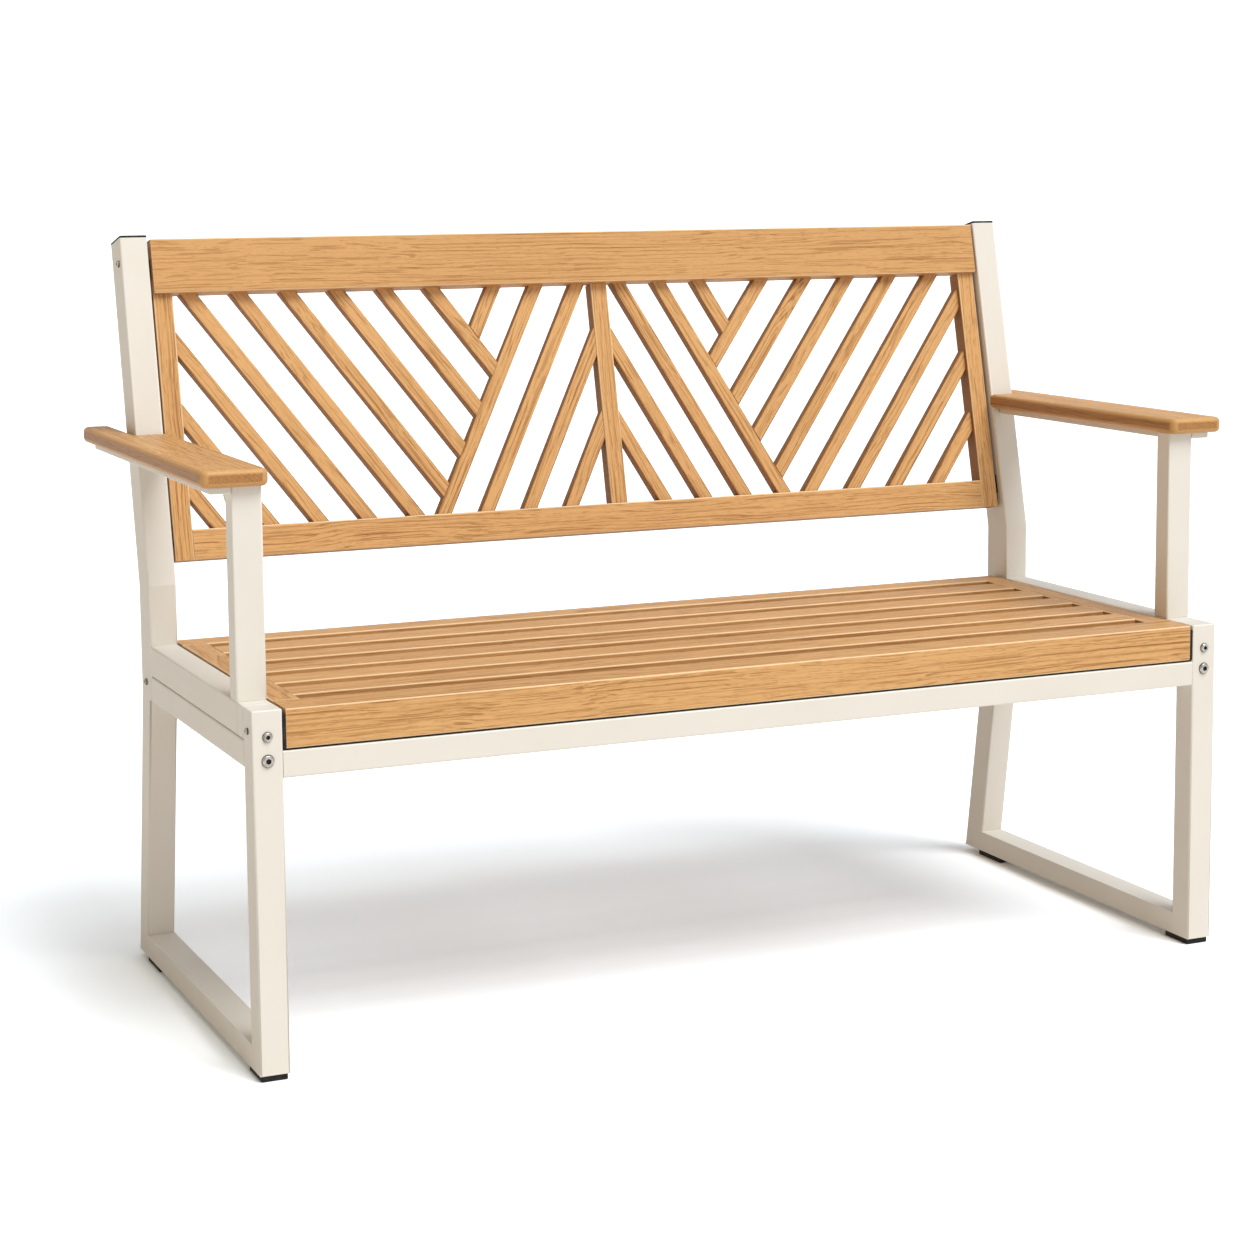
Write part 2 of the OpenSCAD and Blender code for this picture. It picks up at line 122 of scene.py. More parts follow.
floor_mesh = bpy.data.meshes.new("floor")
shape = bmesh.new()
bmesh.ops.create_grid(shape, x_segments=1, y_segments=1, size=FLOOR_HALF)
shape.to_mesh(floor_mesh)
shape.free()
floor = bpy.data.objects.new("floor", floor_mesh)
bpy.context.scene.collection.objects.link(floor)
paper = bpy.data.materials.new("Studio_paper")
paper.use_nodes = True
sheet = paper.node_tree
sheet.nodes.clear()
path = add_node(sheet, "ShaderNodeLightPath")
bounced = add_node(sheet, "ShaderNodeBsdfDiffuse")
bounced.inputs["Color"].default_value = FLOOR_BOUNCE
seen = add_node(sheet, "ShaderNodeBsdfDiffuse")
seen.inputs["Color"].default_value = FLOOR_SEEN
either = add_node(sheet, "ShaderNodeMixShader")
feed(sheet, either.inputs[0], path.outputs["Is Camera Ray"])
feed(sheet, either.inputs[1], bounced.outputs[0])
feed(sheet, either.inputs[2], seen.outputs[0])
sheet_end = add_node(sheet, "ShaderNodeOutputMaterial")
feed(sheet, sheet_end.inputs["Surface"], either.outputs[0])
floor_mesh.materials.append(paper)
print("floor", FLOOR_SEEN[:3])

# %% World and sun
SKY_LIGHT = 0.50
SKY_TILT = 0.23
WARM_SKY = (1.20, 1.0, 0.74, 1.0)
COOL_SKY = (0.85, 0.98, 1.18, 1.0)
WHITE = (1.0, 1.0, 1.0, 1.0)
BACKDROP_LIGHT = 1.05
SUN_POWER = 2.45
SUN_SPREAD = math.radians(34.0)
SUN_TOWARDS = (-0.155, 0.38, -0.60)

world = bpy.data.worlds.new("studio")
bpy.context.scene.world = world
world.use_nodes = True
sky = world.node_tree
sky.nodes.clear()
path = add_node(sky, "ShaderNodeLightPath")
direction = add_node(sky, "ShaderNodeSeparateXYZ")
feed(sky, direction.inputs[0], add_node(sky, "ShaderNodeTexCoord").outputs["Generated"])
strength = reckon(sky, "MULTIPLY", direction.outputs["X"], SKY_TILT)
strength = reckon(sky, "ADD", strength, SKY_LIGHT)
mixed = add_node(sky, "ShaderNodeMix", data_type="FLOAT")
feed(sky, mixed.inputs[0], path.outputs["Is Camera Ray"])
feed(sky, mixed.inputs[2], strength)
feed(sky, mixed.inputs[3], BACKDROP_LIGHT)
from_right = reckon(sky, "MULTIPLY_ADD", direction.outputs["X"], 0.5)
from_right.node.inputs[2].default_value = 0.5
tint = blend_colour(sky, from_right, WARM_SKY, COOL_SKY)
tint = blend_colour(sky, path.outputs["Is Camera Ray"], tint, WHITE)
glow = add_node(sky, "ShaderNodeBackground")
feed(sky, glow.inputs["Color"], tint)
feed(sky, glow.inputs["Strength"], mixed.outputs[0])
sky_end = add_node(sky, "ShaderNodeOutputWorld")
feed(sky, sky_end.inputs["Surface"], glow.outputs[0])

sun = bpy.data.lights.new("key_sun", "SUN")
sun.energy = SUN_POWER
sun.angle = SUN_SPREAD
key = bpy.data.objects.new("key_sun", sun)
bpy.context.scene.collection.objects.link(key)
key.rotation_euler = Vector(SUN_TOWARDS).to_track_quat("-Z", "Y").to_euler()
bpy.context.scene.view_settings.view_transform = "Standard"
print("sun", key.name)

# %% [markdown]
# ## Oak
# Planed oak shows growth rings as long wavering lines, short dark pores and fine fibres, all
# running along the board. A flat pattern would smear on the board ends, so the grain is a
# solid pattern: rings about a heart that lies outside the board, stretched along its length.
# Each vertex keeps its place in its own board, in an attribute called grain, so the pattern
# follows a board however it is turned. The rounded edges are marked in a second attribute,
# arris, and get a paler colour there: a painted highlight. A third attribute belongs to whole
# faces: it makes the seat's top faces, the top rail and the armrests' end grain a little
# darker, and it paints shade on the narrow sides of the back's slats and stiles, in the
# seat's gaps, on undersides and on the armrests' sides.


# %% Shared helpers for groups
def new_group(name, inputs, outputs):
    group = bpy.data.node_groups.new(name, "ShaderNodeTree")
    for label, kind, value in inputs:
        made = group.interface.new_socket(name=label, in_out="INPUT", socket_type=kind)
        if value is not None:
            made.default_value = value
    for label, kind in outputs:
        group.interface.new_socket(name=label, in_out="OUTPUT", socket_type=kind)
    start = add_node(group, "NodeGroupInput")
    end = add_node(group, "NodeGroupOutput")
    return group, start.outputs, end.inputs


def streaks(tree, place, stretch, detail=2.0, roughness=0.5):
    """Noise with stretch lumps to the metre along X, Y and Z."""
    scaled = add_node(tree, "ShaderNodeMapping")
    feed(tree, scaled.inputs["Vector"], place)
    feed(tree, scaled.inputs["Scale"], stretch)
    noise = add_node(tree, "ShaderNodeTexNoise")
    feed(tree, noise.inputs["Vector"], scaled.outputs[0])
    feed(tree, noise.inputs["Scale"], 1.0)
    feed(tree, noise.inputs["Detail"], detail)
    feed(tree, noise.inputs["Roughness"], roughness)
    return noise.outputs[0]


def between(tree, value, low, high):
    """0 at low, 1 at high, and a smooth rise between them."""
    made = add_node(tree, "ShaderNodeMapRange", interpolation_type="SMOOTHSTEP")
    feed(tree, made.inputs["Value"], value)
    feed(tree, made.inputs["From Min"], low)
    feed(tree, made.inputs["From Max"], high)
    return made.outputs[0]


# %% Oak grain group
COLOUR = "NodeSocketColor"
NUMBER = "NodeSocketFloat"
VECTOR = "NodeSocketVector"
SWAY_DEPTH = 0.045
LIFT_DEPTH = 0.012
RING_DEPTH = 0.62
LINE_DEPTH = 0.46
FIBRE_DEPTH = 1.1
FINE_DEPTH = 0.7
TONE_DEPTH = 0.6
PORE_DEPTH = 0.35
EDGE_HIGHLIGHT_DEPTH = 0.65

oak_grain, given, result = new_group(
    "Oak_grain",
    [
        ("Grain", VECTOR, None),
        ("Arris", NUMBER, 0.0),
        ("Weathered", NUMBER, 0.0),
        ("Early wood", COLOUR, (0.70, 0.42, 0.20, 1.0)),
        ("Late wood", COLOUR, (0.42, 0.21, 0.08, 1.0)),
        ("Sanded edge", COLOUR, (0.86, 0.60, 0.34, 1.0)),
        ("Ring scale", NUMBER, 62.0),
    ],
    [("Colour", COLOUR), ("Roughness", NUMBER), ("Relief", NUMBER)],
)
grain = given["Grain"]
sway = reckon(oak_grain, "SUBTRACT", streaks(oak_grain, grain, (2.2, 9.0, 9.0)), 0.5)
lift = reckon(oak_grain, "SUBTRACT", streaks(oak_grain, grain, (6.0, 26.0, 26.0)), 0.5)
sway_part = reckon(oak_grain, "MULTIPLY", sway, SWAY_DEPTH)
lift_part = reckon(oak_grain, "MULTIPLY", lift, LIFT_DEPTH)
wander = reckon(oak_grain, "ADD", sway_part, lift_part)
push = add_node(oak_grain, "ShaderNodeCombineXYZ")
feed(oak_grain, push.inputs["Y"], wander)
feed(oak_grain, push.inputs["Z"], wander)
bent = add_node(oak_grain, "ShaderNodeVectorMath", operation="ADD")
feed(oak_grain, bent.inputs[0], grain)
feed(oak_grain, bent.inputs[1], push.outputs[0])
rings = add_node(
    oak_grain,
    "ShaderNodeTexWave",
    wave_type="RINGS",
    rings_direction="X",
    wave_profile="SAW",
)
feed(oak_grain, rings.inputs["Vector"], bent.outputs[0])
feed(oak_grain, rings.inputs["Scale"], given["Ring scale"])
ring = reckon(oak_grain, "POWER", rings.outputs["Fac"], 4.0)
patch = between(oak_grain, streaks(oak_grain, grain, (2.5, 30.0, 30.0)), 0.3, 0.7)
ring = reckon(oak_grain, "MULTIPLY", ring, patch)
fibre = streaks(oak_grain, grain, (9.0, 520.0, 520.0), 3.0, 0.6)
fine_fibre = streaks(oak_grain, grain, (60.0, 1500.0, 1500.0), 2.0, 0.6)
pore = between(oak_grain, streaks(oak_grain, grain, (70.0, 1000.0, 1000.0), 1.0), 0.60, 0.70)
board_tone = streaks(oak_grain, grain, (0.9, 3.0, 3.0), 1.0)
line = between(oak_grain, streaks(oak_grain, bent.outputs[0], (2.6, 430.0, 430.0), 2.0), 0.54, 0.61)

amount = reckon(oak_grain, "MULTIPLY", ring, RING_DEPTH)
line_part = reckon(oak_grain, "MULTIPLY", line, LINE_DEPTH)
fibre_swing = reckon(oak_grain, "SUBTRACT", fibre, 0.50)
fibre_part = reckon(oak_grain, "MULTIPLY", fibre_swing, FIBRE_DEPTH)
fine_swing = reckon(oak_grain, "SUBTRACT", fine_fibre, 0.5)
fine_part = reckon(oak_grain, "MULTIPLY", fine_swing, FINE_DEPTH)
tone_swing = reckon(oak_grain, "SUBTRACT", board_tone, 0.47)
tone_part = reckon(oak_grain, "MULTIPLY", tone_swing, TONE_DEPTH)
amount = reckon(oak_grain, "ADD", amount, line_part)
amount = reckon(oak_grain, "ADD", amount, fibre_part)
amount = reckon(oak_grain, "ADD", amount, fine_part)
amount = reckon(oak_grain, "ADD", amount, tone_part, clamp=True)
body = blend_colour(oak_grain, amount, given["Early wood"], given["Late wood"])
pore_part = reckon(oak_grain, "MULTIPLY", pore, PORE_DEPTH)
body = blend_colour(oak_grain, pore_part, body, given["Late wood"])
# Painted shade on sides, gap walls and undersides, with some darker tone and end grain, mixes the
# wood towards late wood.
body = blend_colour(oak_grain, given["Weathered"], body, given["Late wood"])
# Painted highlight: the rounded edges are mixed towards a paler colour.
edge_highlight = reckon(oak_grain, "MULTIPLY", given["Arris"], EDGE_HIGHLIGHT_DEPTH)
feed(oak_grain, result["Colour"], blend_colour(oak_grain, edge_highlight, body, given["Sanded edge"]))
dull = reckon(oak_grain, "MULTIPLY", fibre, 0.16)
feed(oak_grain, result["Roughness"], reckon(oak_grain, "ADD", dull, 0.36))
height = reckon(oak_grain, "MULTIPLY", fibre, 0.5)
height = reckon(oak_grain, "SUBTRACT", height, pore)
feed(oak_grain, result["Relief"], height)
print("oak grain group", len(oak_grain.nodes), "nodes")


# %% Oak materials
def place_group(tree, group, **values):
    made = add_node(tree, "ShaderNodeGroup", node_tree=group)
    for label, value in values.items():
        feed(tree, made.inputs[label.replace("_", " ")], value)
    return made.outputs


def new_finish(name):
    finish = bpy.data.materials.new(name)
    finish.use_nodes = True
    tree = finish.node_tree
    return finish, tree, tree.nodes["Principled BSDF"].inputs


def own(tree, name, output="Vector"):
    """What each vertex carries under that name."""
    return add_node(tree, "ShaderNodeAttribute", attribute_name=name).outputs[output]


def bump(tree, relief, strength, distance):
    made = add_node(tree, "ShaderNodeBump")
    feed(tree, made.inputs["Height"], relief)
    feed(tree, made.inputs["Strength"], strength)
    feed(tree, made.inputs["Distance"], distance)
    return made.outputs[0]


def oak(name, early, late, edge, ring_scale, specular):
    finish, tree, shader = new_finish(name)
    wood = place_group(
        tree,
        oak_grain,
        Grain=own(tree, "grain"),
        Arris=own(tree, "arris", "Fac"),
        Weathered=own(tree, "tone_and_shade", "Fac"),
        Early_wood=early,
        Late_wood=late,
        Sanded_edge=edge,
        Ring_scale=ring_scale,
    )
    feed(tree, shader["Base Color"], wood["Colour"])
    feed(tree, shader["Roughness"], wood["Roughness"])
    feed(tree, shader["Normal"], bump(tree, wood["Relief"], 0.35, 0.0005))
    shader["Specular IOR Level"].default_value = specular
    return finish


# Each oak's edge colour is the painted highlight on its rounded edges.
seat_oak = oak(
    "Honey_oak",
    early=(0.70, 0.398, 0.162, 1.0),
    late=(0.30, 0.125, 0.034, 1.0),
    edge=(1.0, 0.76, 0.47, 1.0),
    ring_scale=62.0,
    specular=0.16,
)
arm_oak = oak(
    "Arm_oak",
    early=(0.72, 0.39, 0.135, 1.0),
    late=(0.27, 0.105, 0.026, 1.0),
    edge=(0.66, 0.37, 0.135, 1.0),
    ring_scale=70.0,
    specular=0.35,
)
print("oak", seat_oak.name, arm_oak.name)

# %% [markdown]
# ## Powder coat
# The steel is sprayed with powder and baked. The film is smooth to the hand but has a fine
# orange-peel ripple, and its rounded edges get a paler painted highlight. The ripple is a low
# bump from two sizes of noise, because real geometry that small would need millions of faces.

# %% Powder coat
powder_ripple, given, result = new_group(
    "Powder_ripple",
    [
        ("Place", VECTOR, None),
        ("Arris", NUMBER, 0.0),
        ("Coat", COLOUR, (0.80, 0.75, 0.65, 1.0)),
        ("Thin coat", COLOUR, (0.90, 0.87, 0.80, 1.0)),
        ("Deep coat", COLOUR, (0.74, 0.68, 0.57, 1.0)),
    ],
    [("Colour", COLOUR), ("Roughness", NUMBER), ("Relief", NUMBER)],
)
place = given["Place"]
cloud = between(powder_ripple, streaks(powder_ripple, place, (9.0, 9.0, 9.0)), 0.35, 0.75)
peel = streaks(powder_ripple, place, (380.0, 380.0, 380.0), 2.0)
speck = streaks(powder_ripple, place, (1500.0, 1500.0, 1500.0), 1.0)
cloud_part = reckon(powder_ripple, "MULTIPLY", cloud, 0.35)
speck_part = reckon(powder_ripple, "MULTIPLY", speck, 0.25)
amount = reckon(powder_ripple, "ADD", cloud_part, speck_part)
film = blend_colour(powder_ripple, amount, given["Coat"], given["Deep coat"])
# Painted highlight: the rounded edges are mixed towards a paler coat colour.
wear_and_highlight = reckon(powder_ripple, "MULTIPLY", given["Arris"], 0.6)
feed(powder_ripple, result["Colour"], blend_colour(powder_ripple, wear_and_highlight, film, given["Thin coat"]))
dull = reckon(powder_ripple, "MULTIPLY", peel, 0.12)
feed(powder_ripple, result["Roughness"], reckon(powder_ripple, "ADD", dull, 0.40))
feed(powder_ripple, result["Relief"], reckon(powder_ripple, "ADD", peel, speck_part))

cream_steel, tree, shader = new_finish("Cream_powder_coat")
place = add_node(tree, "ShaderNodeTexCoord").outputs["Object"]
coat = place_group(
    tree,
    powder_ripple,
    Place=place,
    Arris=own(tree, "arris", "Fac"),
    Coat=(0.765, 0.73, 0.652, 1.0),
    Thin_coat=(0.90, 0.87, 0.80, 1.0),
    Deep_coat=(0.72, 0.67, 0.58, 1.0),
)
feed(tree, shader["Base Color"], coat["Colour"])
feed(tree, shader["Roughness"], coat["Roughness"])
feed(tree, shader["Normal"], bump(tree, coat["Relief"], 0.25, 0.0003))
shader["Specular IOR Level"].default_value = 0.5
print("powder coat", cream_steel.name)

# %% [markdown]
# ## Rubber, plastic and steel
# The feet and pads are black rubber, the tube caps black plastic: both come out of a mould
# with a fine matt texture. The screw heads are turned, plated steel with fine scratches,
# and painted shade darkens their sockets and the rims round their bases.

# %% Mould texture
mould_texture, given, result = new_group(
    "Mould_texture",
    [
        ("Place", VECTOR, None),
        ("Dark", COLOUR, (0.012, 0.012, 0.011, 1.0)),
        ("Scuffed", COLOUR, (0.05, 0.048, 0.045, 1.0)),
        ("Coarseness", NUMBER, 1.0),
    ],
    [("Colour", COLOUR), ("Roughness", NUMBER), ("Relief", NUMBER)],
)
dots = add_node(mould_texture, "ShaderNodeVectorMath", operation="SCALE")
feed(mould_texture, dots.inputs[0], given["Place"])
feed(mould_texture, dots.inputs["Scale"], given["Coarseness"])
pebble = streaks(mould_texture, dots.outputs[0], (900.0, 900.0, 900.0), 1.0)
rubbed = streaks(mould_texture, given["Place"], (60.0, 60.0, 60.0), 3.0)
scuff = between(mould_texture, rubbed, 0.45, 0.75)
wear_and_highlight = blend_colour(mould_texture, scuff, given["Dark"], given["Scuffed"])
feed(mould_texture, result["Colour"], wear_and_highlight)
dull = reckon(mould_texture, "MULTIPLY", pebble, 0.2)
feed(mould_texture, result["Roughness"], reckon(mould_texture, "ADD", dull, 0.5))
feed(mould_texture, result["Relief"], pebble)


def moulded(name, dark, scuffed, coarseness, depth):
    finish, tree, shader = new_finish(name)
    place = add_node(tree, "ShaderNodeTexCoord").outputs["Object"]
    skin = place_group(
        tree, mould_texture, Place=place, Dark=dark, Scuffed=scuffed, Coarseness=coarseness
    )
    feed(tree, shader["Base Color"], skin["Colour"])
    feed(tree, shader["Roughness"], skin["Roughness"])
    feed(tree, shader["Normal"], bump(tree, skin["Relief"], 0.4, depth))
    shader["Specular IOR Level"].default_value = 0.25
    return finish


foot_rubber = moulded(
    "Foot_rubber",
    dark=(0.012, 0.012, 0.011, 1.0),
    scuffed=(0.045, 0.043, 0.04, 1.0),
    coarseness=1.0,
    depth=0.0003,
)
cap_plastic = moulded(
    "Cap_plastic",
    dark=(0.016, 0.017, 0.018, 1.0),
    scuffed=(0.05, 0.05, 0.05, 1.0),
    coarseness=1.6,
    depth=0.0001,
)
print("moulded", foot_rubber.name, cap_plastic.name)

# %% Screw steel
CLEAN_STEEL = (0.62, 0.60, 0.57, 1.0)
DULL_STEEL = (0.40, 0.38, 0.35, 1.0)
SOCKET_SHADE = (0.035, 0.03, 0.025, 1.0)

screw_steel, tree, shader = new_finish("Screw_steel")
place = add_node(tree, "ShaderNodeTexCoord").outputs["Object"]
scratch = streaks(tree, place, (300.0, 300.0, 2400.0), 2.0)
tarnish = between(tree, streaks(tree, place, (120.0, 120.0, 120.0), 2.0), 0.35, 0.7)
metal = blend_colour(tree, tarnish, CLEAN_STEEL, DULL_STEEL)
# Painted shade: the sockets and the rims at the heads' bases are mixed towards near black.
socket_shade_amount = between(tree, own(tree, "painted_shade", "Fac"), 0.15, 0.85)
feed(tree, shader["Base Color"], blend_colour(tree, socket_shade_amount, metal, SOCKET_SHADE))
feed(tree, shader["Roughness"], reckon(tree, "ADD", reckon(tree, "MULTIPLY", scratch, 0.25), 0.2))
feed(tree, shader["Normal"], bump(tree, scratch, 0.15, 0.0001))
shader["Metallic"].default_value = 1.0
print("finishes", [m.name for m in bpy.data.materials])

# %% [markdown]
# ## How a bar is made
# A tube or a board starts as a cube stretched to its box. A saw cut trims it, a bevel with
# a few segments rounds its edges, and the flat sides stay flat shaded so that they reflect
# as flat sheets. The tubes are closed at every end by their neighbours, so only their
# outside is made.


# %% Bar helpers
def block(low, high):
    low = Vector(low)
    high = Vector(high)
    bar = bmesh.new()
    bmesh.ops.create_cube(bar, size=1.0)
    bmesh.ops.scale(bar, vec=high - low, verts=bar.verts)
    bmesh.ops.translate(bar, vec=(low + high) / 2, verts=bar.verts)
    for side in bar.faces:
        side.smooth = False
    return bar


def saw(bar, point, outwards):
    """Cuts away all that lies beyond the plane and closes the cut."""
    everything = bar.verts[:] + bar.edges[:] + bar.faces[:]
    bmesh.ops.bisect_plane(
        bar, geom=everything, plane_co=point, plane_no=outwards, clear_outer=True
    )
    open_edges = [edge for edge in bar.edges if edge.is_boundary]
    closed = bmesh.ops.holes_fill(bar, edges=open_edges, sides=0)
    for side in closed["faces"]:
        side.smooth = False


def score(bar, point, across):
    """Divides the bar's faces along a plane and takes nothing away."""
    everything = bar.verts[:] + bar.edges[:] + bar.faces[:]
    bmesh.ops.bisect_plane(bar, geom=everything, plane_co=point, plane_no=across)


def pull(bar, faces, by):
    """Moves faces out or in with new sides behind them, and gives back their corners."""
    pulled = bmesh.ops.extrude_face_region(bar, geom=faces)
    moved = [v for v in pulled["geom"] if isinstance(v, bmesh.types.BMVert)]
    bmesh.ops.translate(bar, vec=by, verts=moved)
    bmesh.ops.delete(bar, geom=faces, context="FACES_ONLY")
    return moved


def merge_flats(bar):
    """Takes out the edges that a flat side no longer needs."""
    flat = math.radians(1.0)
    bmesh.ops.dissolve_limit(bar, angle_limit=flat, verts=bar.verts, edges=bar.edges)


def round_off(bar, edges, radius, segments=3):
    made = bmesh.ops.bevel(
        bar,
        geom=edges,
        offset=radius,
        offset_type="OFFSET",
        affect="EDGES",
        segments=segments,
        profile=0.5,
        material=-1,
        clamp_overlap=True,
    )
    for side in made["faces"]:
        side.smooth = True


def long_edges(bar, along):
    """The edges that run along that direction."""
    along = Vector(along).normalized()
    found = []
    for edge in bar.edges:
        run = (edge.verts[1].co - edge.verts[0].co).normalized()
        if abs(run.dot(along)) > 0.995:
            found.append(edge)
    return found


def sharp_edges(bar, degrees=30.0):
    limit = math.radians(degrees)
    return [e for e in bar.edges if e.is_manifold and e.calc_face_angle() > limit]


def rounded_bar(low, high, along, radius, end_radius):
    bar = block(low, high)
    round_off(bar, long_edges(bar, along), radius)
    round_off(bar, sharp_edges(bar, 60.0), end_radius, 2)
    return bar


def joined(*solids):
    whole = bmesh.new()
    for solid in solids:
        part = bpy.data.meshes.new("part")
        solid.to_mesh(part)
        solid.free()
        whole.from_mesh(part)
        bpy.data.meshes.remove(part)
    return whole


# %% Finishing a piece
pieces = []


def misfit(piece, nodes):
    """How far the piece's box is from its solids' box, in millimetres."""
    low = Vector([min(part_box(n)[0][i] for n in nodes) for i in range(3)])
    high = Vector([max(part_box(n)[1][i] for n in nodes) for i in range(3)])
    points = [v.co for v in piece.data.vertices]
    made_low = Vector([min(p[i] for p in points) for i in range(3)])
    made_high = Vector([max(p[i] for p in points) for i in range(3)])
    gaps = list(made_low - low) + list(made_high - high)
    return round(max(abs(gap) for gap in gaps) * 1000, 2)


def no_grain(point):
    return point


def not_darkened(place, normal):
    return 0.0


def finish_piece(name, shape, finish, nodes, grain=no_grain, darkening=not_darkened):
    """Marks the rounded edges, writes the grain, and puts the piece in the scene."""
    bmesh.ops.recalc_face_normals(shape, faces=shape.faces)
    edge_mark = shape.verts.layers.float.new("arris")
    grain_mark = shape.verts.layers.float_vector.new("grain")
    for vert in shape.verts:
        vert[edge_mark] = 1.0 if all(side.smooth for side in vert.link_faces) else 0.0
        vert[grain_mark] = grain(vert.co)
    # Per face: darker tone and end grain, and painted shade on sides, gaps and undersides.
    darkening_mark = shape.faces.layers.float.new("tone_and_shade")
    for side in shape.faces:
        side[darkening_mark] = darkening(side.calc_center_median(), side.normal)
    mesh = bpy.data.meshes.new(name)
    shape.to_mesh(mesh)
    shape.free()
    mesh.materials.append(finish)
    piece = bpy.data.objects.new(name, mesh)
    bpy.context.scene.collection.objects.link(piece)
    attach(piece, "root")
    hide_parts(*nodes)
    pieces.append(piece)
    print(name, "off by", misfit(piece, nodes), "mm")


# %% [markdown]
# ## Side frames
# Each side frame is a welded loop of square tube: front leg, floor runner, sloped rear leg
# and two rails at seat level. The runner meets the legs in mitres. A sharp cube has no
# edge to catch the light, so every long edge gets the small radius that drawn tube has. A
# tube is made a little longer than it has to be, by SPARE, and then sawn to length.

# %% Side frame measures
TUBE_RADIUS = 0.0022
WELD_RADIUS = 0.0005
LEG_TOP_RADIUS = 0.0015
REAR_SLOPE = math.radians(8.9)
REAR_LEG_DEPTH = 0.040
SPARE = 0.05

leg_low, leg_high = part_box("front_leg_right")
runner_low, runner_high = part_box("floor_runner_right")
rear_low, rear_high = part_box("rear_leg_right")
leg_depth = leg_high.y - leg_low.y
runner_height = runner_high.z - runner_low.z
frame_foot = leg_low.z
heel_y = runner_high.y
rear_top_y = rear_low.y
rear_mitre_y = rear_top_y + (rear_high.z - runner_high.z) * math.tan(REAR_SLOPE)
toe = Vector((0.0, leg_low.y, frame_foot))
toe_line = Vector((0.0, runner_height, -leg_depth)).normalized()
heel = Vector((0.0, heel_y, frame_foot))
heel_line = Vector((0.0, -runner_height, rear_mitre_y - heel_y)).normalized()
print("runner", round(runner_height, 3), "heel at", round(heel_y, 3))


# %% Legs and runners
def front_leg(node):
    low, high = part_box(node)
    tube = block(low, high)
    saw(tube, toe, toe_line)
    round_off(tube, long_edges(tube, (0, 0, 1)), TUBE_RADIUS)
    top = [e for e in sharp_edges(tube, 60.0) if min(v.co.z for v in e.verts) > high.z - 0.001]
    round_off(tube, top, LEG_TOP_RADIUS)
    return tube


def floor_runner(node):
    low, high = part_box(node)
    tube = block(low, high)
    saw(tube, toe, -toe_line)
    saw(tube, heel, -heel_line)
    round_off(tube, long_edges(tube, (0, 1, 0)), TUBE_RADIUS)
    return tube


def rear_leg(node):
    low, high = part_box(node)
    tall = high.z - frame_foot
    tube = block((low.x, 0.0, -SPARE), (high.x, REAR_LEG_DEPTH, tall + SPARE))
    round_off(tube, long_edges(tube, (0, 0, 1)), TUBE_RADIUS)
    foot_y = rear_top_y + tall * math.tan(REAR_SLOPE)
    slope = Matrix.Translation((0, foot_y, frame_foot)) @ Matrix.Rotation(REAR_SLOPE, 4, "X")
    bmesh.ops.transform(tube, matrix=slope, verts=tube.verts)
    saw(tube, high, (0, 0, 1))
    saw(tube, heel, heel_line)
    return tube


for side in ("left", "right"):
    for name, maker in (
        ("front_leg", front_leg),
        ("floor_runner", floor_runner),
        ("rear_leg", rear_leg),
    ):
        node = f"{name}_{side}"
        finish_piece(node + "_tube", maker(node), cream_steel, [node])

# %% [markdown]
# ## Rails, arm posts and uprights
# The two rails at seat level lie one over the other with a hairline between them. The upper
# one has a fine joint line in front of the arm post, which two cuts and a small push inwards
# make. The upright is one tube with a bend: its top face is tilted to the mitre, pulled out
# along the lean and sawn off square.

# %% Rails, posts and cross tubes
post_low, post_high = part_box("arm_post_right")
rail_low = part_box("side_rails_right")[0]
LOWER_RAIL_HEIGHT = 0.031
RAIL_GAP = 0.001
JOINT_WIDTH = 0.0009
JOINT_DEPTH = 0.001
rail_split = rail_low.z + LOWER_RAIL_HEIGHT


def side_rail_pair(node):
    low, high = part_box(node)
    lower_top = (high.x, high.y, rail_split)
    lower = rounded_bar(low, lower_top, (0, 1, 0), TUBE_RADIUS, WELD_RADIUS)
    upper_foot = (low.x, low.y, rail_split + RAIL_GAP)
    upper = rounded_bar(upper_foot, high, (0, 1, 0), TUBE_RADIUS, WELD_RADIUS)
    outside = 1.0 if high.x > 0 else -1.0
    for y in (post_low.y - JOINT_WIDTH, post_low.y):
        score(upper, (0, y, 0), (0, 1, 0))
    strip = []
    for face in upper.faces:
        middle = face.calc_center_median()
        inside_cut = abs(middle.y - post_low.y + JOINT_WIDTH / 2) < JOINT_WIDTH / 2
        if inside_cut and face.normal.x * outside > 0.9:
            strip.append(face)
    pull(upper, strip, (-outside * JOINT_DEPTH, 0, 0))
    return joined(lower, upper)


def arm_post(node):
    low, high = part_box(node)
    return rounded_bar(low, high, (0, 0, 1), TUBE_RADIUS, WELD_RADIUS)


def apron(node):
    low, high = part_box(node)
    return rounded_bar(low, high, (1, 0, 0), TUBE_RADIUS, WELD_RADIUS)


for node, maker in (
    ("side_rails_left", side_rail_pair),
    ("side_rails_right", side_rail_pair),
    ("arm_post_left", arm_post),
    ("arm_post_right", arm_post),
    ("front_apron", apron),
    ("rear_apron", apron),
):
    finish_piece(node + "_tube", maker(node), cream_steel, [node])

# %% The leaning back's own axes
LEAN = math.radians(12.9)
UPRIGHT_DEPTH = 0.050
UPRIGHT_LENGTH = 0.441
BEND_HEIGHT = 0.4894
bend = Vector((0.0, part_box("upright_right")[0].y, BEND_HEIGHT + frame_foot))
leaning = Matrix.Translation(bend) @ Matrix.Rotation(-LEAN, 4, "X")
up_slope = leaning.to_3x3() @ Vector((0, 0, 1))
print("bend at", [round(v, 3) for v in bend])


